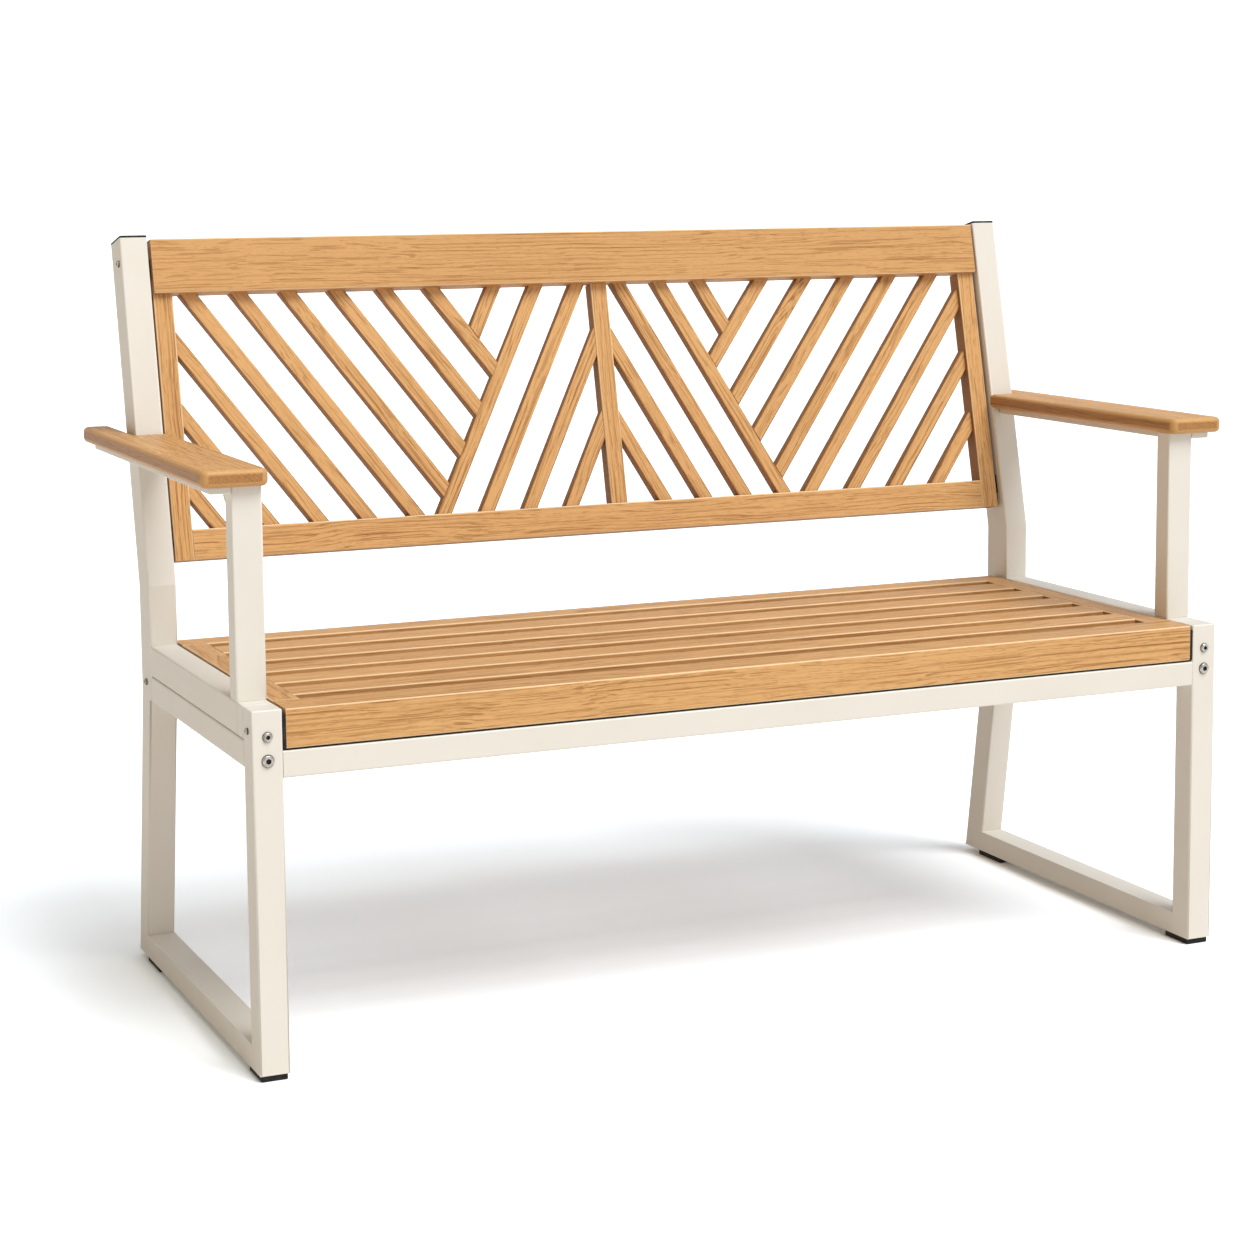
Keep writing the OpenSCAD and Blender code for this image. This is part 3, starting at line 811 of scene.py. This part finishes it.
# %% Uprights
def upright(node):
    low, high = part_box(node)
    tube = block(low, (high.x, bend.y + UPRIGHT_DEPTH, bend.z))
    top = [face for face in tube.faces if face.normal.z > 0.9][0]
    for vert in top.verts:
        vert.co.z -= (vert.co.y - bend.y) * math.tan(LEAN / 2)
    pull(tube, [top], up_slope * (UPRIGHT_LENGTH + SPARE))
    saw(tube, leaning @ Vector((0, 0, UPRIGHT_LENGTH)), up_slope)
    edges = long_edges(tube, (0, 0, 1)) + long_edges(tube, up_slope)
    round_off(tube, edges, TUBE_RADIUS)
    return tube


for side in ("left", "right"):
    node = f"upright_{side}"
    finish_piece(node + "_tube", upright(node), cream_steel, [node])

# %% [markdown]
# ## Arm supports
# A steel flat under each armrest carries it past the post and the upright. It starts as the
# long outer strip, and the inner part is pulled out of that strip between the two tubes. A
# small gusset, a block sawn on the slant, stiffens the corner behind the post.

# %% Arm supports
GUSSET = 0.012
PLATE_THICK = 0.008
PLATE_RADIUS = 0.0012
CLEARANCE = 0.0003


def pull_side(bar, towards, y_range, distance):
    """Pulls the part of one side that lies within y_range out by that distance."""
    towards = Vector(towards)
    for y in y_range:
        score(bar, (0, y, 0), (0, 1, 0))
    chosen = []
    for face in bar.faces:
        middle = face.calc_center_median()
        if face.normal.dot(towards) > 0.9 and y_range[0] < middle.y < y_range[1]:
            chosen.append(face)
    pull(bar, chosen, towards * distance)
    merge_flats(bar)


def arm_support(node):
    low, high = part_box(node)
    plate_low = high.z - PLATE_THICK
    outside = 1.0 if high.x > 0 else -1.0
    tube_x = leg_high.x * outside
    far_x = high.x if outside > 0 else low.x
    near_x = low.x if outside > 0 else high.x
    beside_tube = tube_x + outside * CLEARANCE
    strip_x = sorted((beside_tube, far_x))
    plate = block((strip_x[0], low.y, plate_low), (strip_x[1], high.y, high.z))
    lean_y = bend.y + (plate_low - bend.z) * math.tan(LEAN) - CLEARANCE
    corner = post_high.y + CLEARANCE
    pull_side(plate, (-outside, 0, 0), (corner, lean_y), abs(beside_tube - near_x))
    round_off(plate, sharp_edges(plate, 60.0), PLATE_RADIUS, 2)
    edge_x = sorted((near_x, tube_x))
    gusset = block((edge_x[0], corner, plate_low - GUSSET), (edge_x[1], corner + GUSSET, plate_low))
    saw(gusset, (0, corner, plate_low - GUSSET), Vector((0, 1, -1)).normalized())
    return joined(plate, gusset)


for side in ("left", "right"):
    node = f"arm_support_{side}"
    finish_piece(node + "_plate", arm_support(node), cream_steel, [node])

# %% [markdown]
# ## Armrests
# An armrest is a thick board notched round the upright and sanded to a soft, hand-friendly
# shape. The board's corners are rounded first, seen from above, and then the whole rim is
# rolled over with a radius of nearly a third of its thickness.

# %% Grain placement
heart_count = 0


def grain_along(board_axes):
    """A grain function: a board's own X runs along it, and every board has its own heart."""
    global heart_count
    heart_count += 1
    number = heart_count
    to_board = board_axes.inverted()
    heart = Vector((
        1.37 * number,
        0.035 + 0.020 * math.sin(2.3 * number),
        0.070 + 0.015 * math.cos(1.7 * number),
    ))
    jump = Vector((0.0, 0.0, 0.0))
    if number % 2:
        jump.y = -2 * heart.y

    def place(point):
        return to_board @ point + heart + jump

    return place


ALONG_X = Matrix.Identity(4)
ALONG_Y = Matrix.Rotation(math.pi / 2, 4, "Z")
ALONG_Z = Matrix.Rotation(-math.pi / 2, 4, "Y")


def axes_at(low, high, turn):
    """The board's own axes, with their origin in the middle of its box."""
    return Matrix.Translation((Vector(low) + Vector(high)) / 2) @ turn


# %% Armrests
ARM_PLAN_RADIUS = 0.009
ARM_RIM_RADIUS = 0.0062
# Painted shade on the armrests' sides and undersides, with their end grain a little darker.
ARM_GRAIN_AND_SHADE = 0.64
NOTCH_CLEARANCE = 0.0005
TONGUE_CLEARANCE = 0.001


def arm_grain_and_shade(place, normal):
    """Darker the more a face turns from up: the end grain is a little darker, and the sides and
    underside get painted shade.
    """
    return ARM_GRAIN_AND_SHADE * (1.0 - max(0.0, normal.z))


def armrest(node):
    low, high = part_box(node)
    outside = 1.0 if high.x > 0 else -1.0
    notch_y = bend.y + (low.z - bend.z) * math.tan(LEAN) - NOTCH_CLEARANCE
    board = block(low, (high.x, notch_y, high.z))
    tongue_x = outside * (leg_high.x + TONGUE_CLEARANCE)
    score(board, (tongue_x, 0, 0), (1, 0, 0))
    tongue = []
    for face in board.faces:
        middle = face.calc_center_median()
        if face.normal.y > 0.9 and middle.x * outside > tongue_x * outside:
            tongue.append(face)
    pull(board, tongue, (0, high.y - notch_y, 0))
    merge_flats(board)
    corners = []
    for edge in long_edges(board, (0, 0, 1)):
        y = edge.verts[0].co.y
        if y < low.y + 0.001 or y > high.y - 0.001:
            corners.append(edge)
    round_off(board, corners, ARM_PLAN_RADIUS, 6)
    rim = [e for e in sharp_edges(board, 60.0) if abs(e.verts[0].co.z - e.verts[1].co.z) < 1e-5]
    round_off(board, rim, ARM_RIM_RADIUS, 5)
    return board


for side in ("left", "right"):
    node = f"armrest_{side}"
    low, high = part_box(node)
    finish_piece(
        node + "_board",
        armrest(node),
        arm_oak,
        [node],
        grain_along(axes_at(low, high, ALONG_Y)),
        arm_grain_and_shade,
    )

# %% [markdown]
# ## Seat
# The seat is a flat oak frame with five slats let in level with its top. Every board is a
# planed bar with rounded long edges, and its ends keep a hairline edge, so that butt joints
# show as fine dark lines.

# %% Seat tone and painted shade
# Painted shade in the seat's gaps: walls, ends and undersides. Upward faces are a little darker all
# over.
GAP_WALL_SHADE = 0.48
DEEP_SHADE = 0.90
TOP_DARK = 0.06
OUTER_BAND = 0.006
seat_low = Vector(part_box("seat_front_rail")[0])
seat_high = Vector(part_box("seat_rear_rail")[1])


def seat_tone_and_shade(place, normal):
    """Painted shade on the walls and ends of the gaps and on undersides; upward faces are a little
    darker, and the seat's outer sides get nothing.
    """
    if normal.z > 0.5:
        return TOP_DARK
    if normal.z < -0.5:
        return DEEP_SHADE
    edge_x = seat_high.x - abs(place.x)
    edge_y = min(place.y - seat_low.y, seat_high.y - place.y)
    if min(edge_x, edge_y) < OUTER_BAND:
        return 0.0
    return DEEP_SHADE if abs(normal.x) > 0.5 else GAP_WALL_SHADE


# %% Seat boards
BOARD_RADIUS = 0.0020
BUTT_RADIUS = 0.0006
SEAT_SLATS = 5

seat_boards = [("seat_front_rail", (1, 0, 0), ALONG_X), ("seat_rear_rail", (1, 0, 0), ALONG_X)]
for number in range(1, SEAT_SLATS + 1):
    seat_boards.append((f"seat_slat_{number}", (1, 0, 0), ALONG_X))
for side in ("left", "right"):
    seat_boards.append((f"seat_end_rail_{side}", (0, 1, 0), ALONG_Y))
for node, along, turn in seat_boards:
    low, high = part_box(node)
    bar = rounded_bar(low, high, along, BOARD_RADIUS, BUTT_RADIUS)
    grain = grain_along(axes_at(low, high, turn))
    finish_piece(node + "_board", bar, seat_oak, [node], grain, seat_tone_and_shade)

# %% Seat bearers
BEARER_WIDTH = 0.030

low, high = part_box("seat_bearers")
left_end = (low.x + BEARER_WIDTH, high.y, high.z)
right_start = (high.x - BEARER_WIDTH, low.y, low.z)
bearers = joined(
    rounded_bar(low, left_end, (0, 1, 0), BOARD_RADIUS, BUTT_RADIUS),
    rounded_bar(right_start, high, (0, 1, 0), BOARD_RADIUS, BUTT_RADIUS),
)
grain = grain_along(axes_at(low, high, ALONG_Y))
finish_piece(
    "seat_bearers_board", bearers, seat_oak, ["seat_bearers"], grain, seat_tone_and_shade
)

# %% [markdown]
# ## Back panel
# The back is a leaning oak frame: a deep top rail, two stiles, a bottom rail and a thin
# centre stile. Its bars are made upright in the panel's own axes, X across and Z up the
# slope, and then tilted together, because that keeps every cut square to the panel.

# %% Back tone and painted shade
# Painted shade on the narrow sides of the back's slats and stiles.
SLAT_SIDE_SHADE = 0.90
RAIL_DARK = 0.15
panel_front = leaning.to_3x3() @ Vector((0, -1, 0))


def slat_side_shade(place, normal):
    """Painted shade on the narrow sides of the slats and stiles; their faces get none."""
    return SLAT_SIDE_SHADE if abs(normal.dot(panel_front)) < 0.3 else 0.0


def top_rail_weather(place, normal):
    """The top rail is handled most, and is a little darker all over."""
    return RAIL_DARK


# %% Back frame
PANEL_X = 0.601
PANEL_LOW = 0.030
FIELD_LOW = 0.069
FIELD_TOP = 0.3695
PANEL_TOP = 0.439
STILE_IN = 0.576
STILE_BACK = 0.0085
STILE_DEPTH = 0.025
CENTRE_HALF = 0.012
CENTRE_X = 0.014
TOP_DEPTH = 0.030
CENTRE_DEPTH = 0.020
stile_far = STILE_BACK + STILE_DEPTH

back_boards = [
    ("back_top_rail", (-PANEL_X, 0, FIELD_TOP), (PANEL_X, TOP_DEPTH, PANEL_TOP), (1, 0, 0), ALONG_X),
    (
        "back_bottom_rail",
        (-STILE_IN, STILE_BACK, PANEL_LOW),
        (STILE_IN, stile_far, FIELD_LOW),
        (1, 0, 0),
        ALONG_X,
    ),
    (
        "back_stile_left",
        (-PANEL_X, STILE_BACK, PANEL_LOW),
        (-STILE_IN, stile_far, FIELD_TOP),
        (0, 0, 1),
        ALONG_Z,
    ),
    (
        "back_stile_right",
        (STILE_IN, STILE_BACK, PANEL_LOW),
        (PANEL_X, stile_far, FIELD_TOP),
        (0, 0, 1),
        ALONG_Z,
    ),
    (
        "back_centre_stile",
        (CENTRE_X - CENTRE_HALF, stile_far - CENTRE_DEPTH, FIELD_LOW),
        (CENTRE_X + CENTRE_HALF, stile_far, FIELD_TOP),
        (0, 0, 1),
        ALONG_Z,
    ),
]
for node, low, high, along, turn in back_boards:
    bar = rounded_bar(low, high, along, BOARD_RADIUS, BUTT_RADIUS)
    bmesh.ops.transform(bar, matrix=leaning, verts=bar.verts)
    grain = grain_along(leaning @ axes_at(low, high, turn))
    darkening = top_rail_weather if node == "back_top_rail" else slat_side_shade
    finish_piece(node + "_board", bar, seat_oak, [node], grain, darkening)

# %% [markdown]
# ## Lattice
# Diagonal slats fill the panel. Beside the centre stile they fall outwards at 62 degrees, and
# beyond a long slat they fall inwards, a little less steeply, and die into it. The centre
# stile stands a little to the right, so the left side has nine outer slats and the right side
# eight. Each slat is a long bar, rounded, tilted through its place under the top rail, and
# then sawn to its field, so the ends fit exactly.

# %% Lattice measures
SLAT_WIDTH = 0.019
SLAT_THICK = 0.015
SLAT_BACK = 0.0155
SLAT_RADIUS = 0.0018
SLAT_SPARE = 0.1
INNER_COUNT = 5
FIRST_CROSSING = 3
INNER_ANGLE = math.radians(62)
INNER_FIRST = 0.0305
INNER_PITCH = 0.0605
OUTER_ANGLE = {"left": math.radians(54.5), "right": math.radians(52.5)}
OUTER_FIRST = {"left": 0.226, "right": 0.2625}
OUTER_PITCH = {"left": 0.0656, "right": 0.0682}
OUTER_COUNT = {"left": 9, "right": 8}
CENTRE_SHIFT = {"left": -CENTRE_X, "right": CENTRE_X}
field_height = FIELD_TOP - FIELD_LOW
inner_half = SLAT_WIDTH / 2 / math.sin(INNER_ANGLE)


def slat_axes(top_x, fall):
    """A slat's own axes: X runs down it, and it crosses the top rail's underside at top_x."""
    down = Vector((fall, 0.0, -field_height)).normalized()
    turn = Matrix.Rotation(-math.atan2(down.z, down.x), 4, "Y")
    return Matrix.Translation((top_x, SLAT_BACK + SLAT_THICK / 2, FIELD_TOP)) @ turn


def slat_bar(top_x, fall):
    start = (-SLAT_SPARE, -SLAT_THICK / 2, -SLAT_WIDTH / 2)
    bar = block(start, (2 * field_height, SLAT_THICK / 2, SLAT_WIDTH / 2))
    round_off(bar, long_edges(bar, (1, 0, 0)), SLAT_RADIUS)
    bmesh.ops.transform(bar, matrix=slat_axes(top_x, fall), verts=bar.verts)
    saw(bar, (0, 0, FIELD_TOP), (0, 0, 1))
    saw(bar, (0, 0, FIELD_LOW), (0, 0, -1))
    return bar


def mirrored(side):
    return Matrix.Scale(-1.0, 4, (1, 0, 0)) if side == "left" else Matrix.Identity(4)


def put_back(bar, side):
    bmesh.ops.transform(bar, matrix=leaning @ mirrored(side), verts=bar.verts)
    return bar


# %% Outer slats
boundary_x = INNER_FIRST + INNER_PITCH + inner_half
boundary_line = Vector((-math.sin(INNER_ANGLE), 0, -math.cos(INNER_ANGLE)))
for side in ("left", "right"):
    outer_fall = -field_height / math.tan(OUTER_ANGLE[side])
    for number in range(1, OUTER_COUNT[side] + 1):
        top_x = OUTER_FIRST[side] + (number - 1) * OUTER_PITCH[side]
        bar = slat_bar(top_x, outer_fall)
        saw(bar, (boundary_x + CENTRE_SHIFT[side], 0, FIELD_TOP), boundary_line)
        saw(bar, (STILE_IN, 0, 0), (1, 0, 0))
        put_back(bar, side)
        node = f"lattice_{side}_{number}"
        grain = grain_along(leaning @ mirrored(side) @ slat_axes(top_x, outer_fall))
        finish_piece(node + "_slat", bar, seat_oak, [node], grain, slat_side_shade)


# %% Inner slats
def inner_slat(number, side):
    """One of a pair, with its grain. The last one is short: it ends on the first outer slat."""
    top_x = CENTRE_SHIFT[side] + INNER_FIRST + (number - FIRST_CROSSING) * INNER_PITCH
    inner_fall = field_height / math.tan(INNER_ANGLE)
    bar = slat_bar(top_x, inner_fall)
    saw(bar, (CENTRE_SHIFT[side] + CENTRE_HALF, 0, 0), (-1, 0, 0))
    if number == INNER_COUNT:
        slope = OUTER_ANGLE[side]
        first_edge = OUTER_FIRST[side] - SLAT_WIDTH / 2 / math.sin(slope)
        first_line = Vector((math.sin(slope), 0, -math.cos(slope)))
        saw(bar, (first_edge, 0, FIELD_TOP), first_line)
    grain = grain_along(leaning @ mirrored(side) @ slat_axes(top_x, inner_fall))
    return put_back(bar, side), grain


for number in range(1, INNER_COUNT + 1):
    left_bar, left_grain = inner_slat(number, "left")
    right_bar, right_grain = inner_slat(number, "right")

    def pair_grain(point, left_grain=left_grain, right_grain=right_grain):
        return left_grain(point) if point.x < CENTRE_X else right_grain(point)

    node = f"lattice_inner_{number}"
    pair = joined(left_bar, right_bar)
    finish_piece(node + "_slats", pair, seat_oak, [node], pair_grain, slat_side_shade)

# %% [markdown]
# ## Feet, caps and pads
# Each runner stands on two black rubber blocks. A thin plastic cap closes the top of each
# upright, and rubber pads keep the wood off the steel. Thin strips of black rubber along the
# cross tubes and beside the seat's two ends are painted shade: they fill the gaps round the
# seat with near black. All are blocks with softened edges. The part of a cap that would sit
# inside its tube is left out.

# %% Feet
FOOT_INSET = 0.002
FOOT_RADIUS = 0.0015
FRONT_FOOT_LENGTH = 0.049
REAR_FOOT_LENGTH = 0.058
REAR_FOOT_REACH = 0.093
FRONT_INSET = 0.003
front_foot_y = leg_low.y + FRONT_INSET
rear_foot_y = heel_y - REAR_FOOT_REACH

feet = []
for side in (-1, 1):
    x = sorted((side * (leg_low.x + FOOT_INSET), side * (leg_high.x - FOOT_INSET)))
    for y, length in ((front_foot_y, FRONT_FOOT_LENGTH), (rear_foot_y, REAR_FOOT_LENGTH)):
        foot = block((x[0], y, 0.0), (x[1], y + length, frame_foot))
        round_off(foot, sharp_edges(foot), FOOT_RADIUS, 3)
        feet.append(foot)
finish_piece("feet_blocks", joined(*feet), foot_rubber, ["feet"])

# %% Caps
CAP_THICK = 0.003
CAP_RADIUS = 0.001

caps = []
for side in (-1, 1):
    x = sorted((side * leg_low.x, side * leg_high.x))
    cap = block((x[0], 0, UPRIGHT_LENGTH), (x[1], UPRIGHT_DEPTH, UPRIGHT_LENGTH + CAP_THICK))
    round_off(cap, long_edges(cap, (0, 0, 1)), TUBE_RADIUS)
    rim_z = UPRIGHT_LENGTH + CAP_THICK - CAP_RADIUS
    rim = [e for e in sharp_edges(cap, 60.0) if e.verts[0].co.z > rim_z]
    round_off(cap, rim, CAP_RADIUS, 2)
    bmesh.ops.transform(cap, matrix=leaning, verts=cap.verts)
    caps.append(cap)
finish_piece("upright_caps_lids", joined(*caps), cap_plastic, ["upright_caps"])

# %% Pads
PAD_WIDTH = 0.040
PAD_DEPTH = 0.016
PAD_FROM_END = 0.090
BACK_PAD_DEPTH = 0.015
BACK_PAD_HEIGHT = 0.025
BACK_PAD_INSET = 0.003
BACK_GAP = 0.004
BACK_PAD_LEVELS = (PANEL_LOW + 0.020, PANEL_TOP - 0.050)
PAD_RADIUS = 0.0004
REAR_INSET = 0.002
apron_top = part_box("front_apron")[1].z
rear_apron_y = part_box("rear_apron")[0].y
seat_under = seat_low.z
seat_edge = seat_high.x
back_pad_y = STILE_BACK + BACK_PAD_INSET

pads = []
for side in (-1, 1):
    far_x = side * (seat_edge - PAD_FROM_END)
    x = sorted((far_x, far_x + side * PAD_WIDTH))
    for y in (leg_low.y + FRONT_INSET, rear_apron_y + REAR_INSET):
        pads.append(block((x[0], y, apron_top), (x[1], y + PAD_DEPTH, seat_under)))
    x = sorted((side * PANEL_X, side * (PANEL_X + BACK_GAP)))
    for z in BACK_PAD_LEVELS:
        far_corner = (x[1], back_pad_y + BACK_PAD_DEPTH, z + BACK_PAD_HEIGHT)
        pad = block((x[0], back_pad_y, z), far_corner)
        bmesh.ops.transform(pad, matrix=leaning, verts=pad.verts)
        pads.append(pad)

# %% Strips round the seat: painted shade in its gaps
STRIP_DEPTH = 0.0014
STRIP_BELOW_TOP = 0.006
STRIP_CLEARANCE = 0.0004
FRONT_STRIP_INSET = 0.0012
REAR_STRIP_INSET = 0.0015
strip_top = seat_high.z - STRIP_BELOW_TOP

# These strips are painted shade: near-black rubber fills the gaps under and beside the seat.
for y in (leg_low.y + FRONT_STRIP_INSET, rear_apron_y + REAR_STRIP_INSET):
    pads.append(block((-seat_edge, y, apron_top), (seat_edge, y + STRIP_DEPTH, seat_under)))
for side in (-1, 1):
    by_seat = side * (seat_edge + STRIP_CLEARANCE)
    x = sorted((by_seat, side * (leg_low.x - STRIP_CLEARANCE)))
    pads.append(block((x[0], seat_low.y, seat_under), (x[1], seat_high.y, strip_top)))
for pad in pads:
    round_off(pad, sharp_edges(pad), PAD_RADIUS, 2)
# One piece: the rubber pads, and the strips of painted shade.
finish_piece("spacer_pads_and_shade_strips", joined(*pads), foot_rubber, ["spacer_pads"])

# %% [markdown]
# ## Screws
# The bolts have domed button heads with a hexagon socket. A head is a cone frustum with a
# rounded shoulder. Its top is inset, the inner ring is drawn in to a hexagon and pushed down.
# The shanks can't be seen, so they are left out.


# %% Button heads
# Height up to which the head's bottom ring gets painted shade.
RIM_SHADE_HEIGHT = 0.0002
TOP_WIDTH = 0.40
SHOULDER = 0.07
SOCKET_RIM = 0.06
SOCKET_DEPTH = 0.6


def hexagon_reach(angle, flats):
    """Distance from the middle to the side of a hexagon, at that angle."""
    turn = (angle + math.pi / 6) % (math.pi / 3) - math.pi / 6
    return flats / 2 / math.cos(turn)


def button_head(width, flats, height=0.003):
    """A domed head on the XY plane, seen from +Z."""
    head = bmesh.new()
    painted_shade = head.verts.layers.float.new("painted_shade")
    bmesh.ops.create_cone(
        head,
        cap_ends=True,
        segments=36,
        radius1=width / 2,
        radius2=width * TOP_WIDTH,
        depth=height,
    )
    bmesh.ops.translate(head, vec=(0, 0, height / 2), verts=head.verts)
    for face in head.faces:
        face.smooth = abs(face.normal.z) < 0.99
    shoulder = [e for e in sharp_edges(head, 20.0) if e.verts[0].co.z > height * 0.9]
    round_off(head, shoulder, width * SHOULDER, 4)
    head.faces.ensure_lookup_table()
    top = max(head.faces, key=lambda face: face.calc_area() * (face.normal.z > 0.99))
    rim = width * SOCKET_RIM
    bmesh.ops.inset_region(head, faces=[top], thickness=rim, use_even_offset=True)
    for vert in top.verts:
        angle = math.atan2(vert.co.y, vert.co.x)
        reach = hexagon_reach(angle, flats)
        vert.co.x = reach * math.cos(angle)
        vert.co.y = reach * math.sin(angle)
    sunk = pull(head, [top], (0, 0, -height * SOCKET_DEPTH))
    # Painted shade: the sunk socket and the bottom ring of the head are marked for near black.
    for vert in head.verts:
        vert[painted_shade] = 1.0 if vert in sunk or vert.co.z < RIM_SHADE_HEIGHT else 0.0
    return head


def set_head(head, place, outwards):
    """Turns the head's +Z outwards and moves it to its place."""
    turn = Vector(outwards).to_track_quat("Z", "Y").to_matrix().to_4x4()
    bmesh.ops.transform(head, matrix=Matrix.Translation(place) @ turn, verts=head.verts)
    return head


# %% Bolts on the legs
SMALL_BOLT = (0.012, 0.0046, 0.384)
LARGE_BOLT = (0.015, 0.0058, 0.357)
bolt_x = (leg_low.x + leg_high.x) / 2

front_bolts = []
for side in (-1, 1):
    for width, flats, height in (SMALL_BOLT, LARGE_BOLT):
        place = Vector((side * bolt_x, leg_low.y, height + frame_foot))
        front_bolts.append(set_head(button_head(width, flats), place, (0, -1, 0)))
heads = joined(*front_bolts)
finish_piece("frame_bolts_heads", heads, screw_steel, ["frame_bolts"])

# %% Screws on the sides
LEG_SCREW = (0.008, 0.003)
UPRIGHT_SCREW = (0.009, 0.0035)
LEG_SCREW_DROP = 0.025
LOW_SCREW_RISE = 0.021
TOP_SCREW_DROP = 0.02875
leg_screw_place = Vector((0, leg_low.y + leg_depth / 2, leg_high.z - LEG_SCREW_DROP))
low_screw_place = Vector((0, bend.y + UPRIGHT_DEPTH / 2, rail_low.z + LOW_SCREW_RISE))
top_screw_place = leaning @ Vector((0, TOP_DEPTH / 2, PANEL_TOP - TOP_SCREW_DROP))

side_heads = []
for side in (-1, 1):
    outwards = Vector((side, 0, 0))
    for (width, flats), place in (
        (LEG_SCREW, leg_screw_place),
        (UPRIGHT_SCREW, low_screw_place),
        (UPRIGHT_SCREW, top_screw_place),
    ):
        head = button_head(width, flats)
        side_heads.append(set_head(head, place + outwards * leg_high.x, outwards))
heads = joined(*side_heads)
finish_piece("side_screws_heads", heads, screw_steel, ["side_screws"])

print("pieces", len(pieces), "triangles", sum(len(p.data.loop_triangles) for p in pieces))
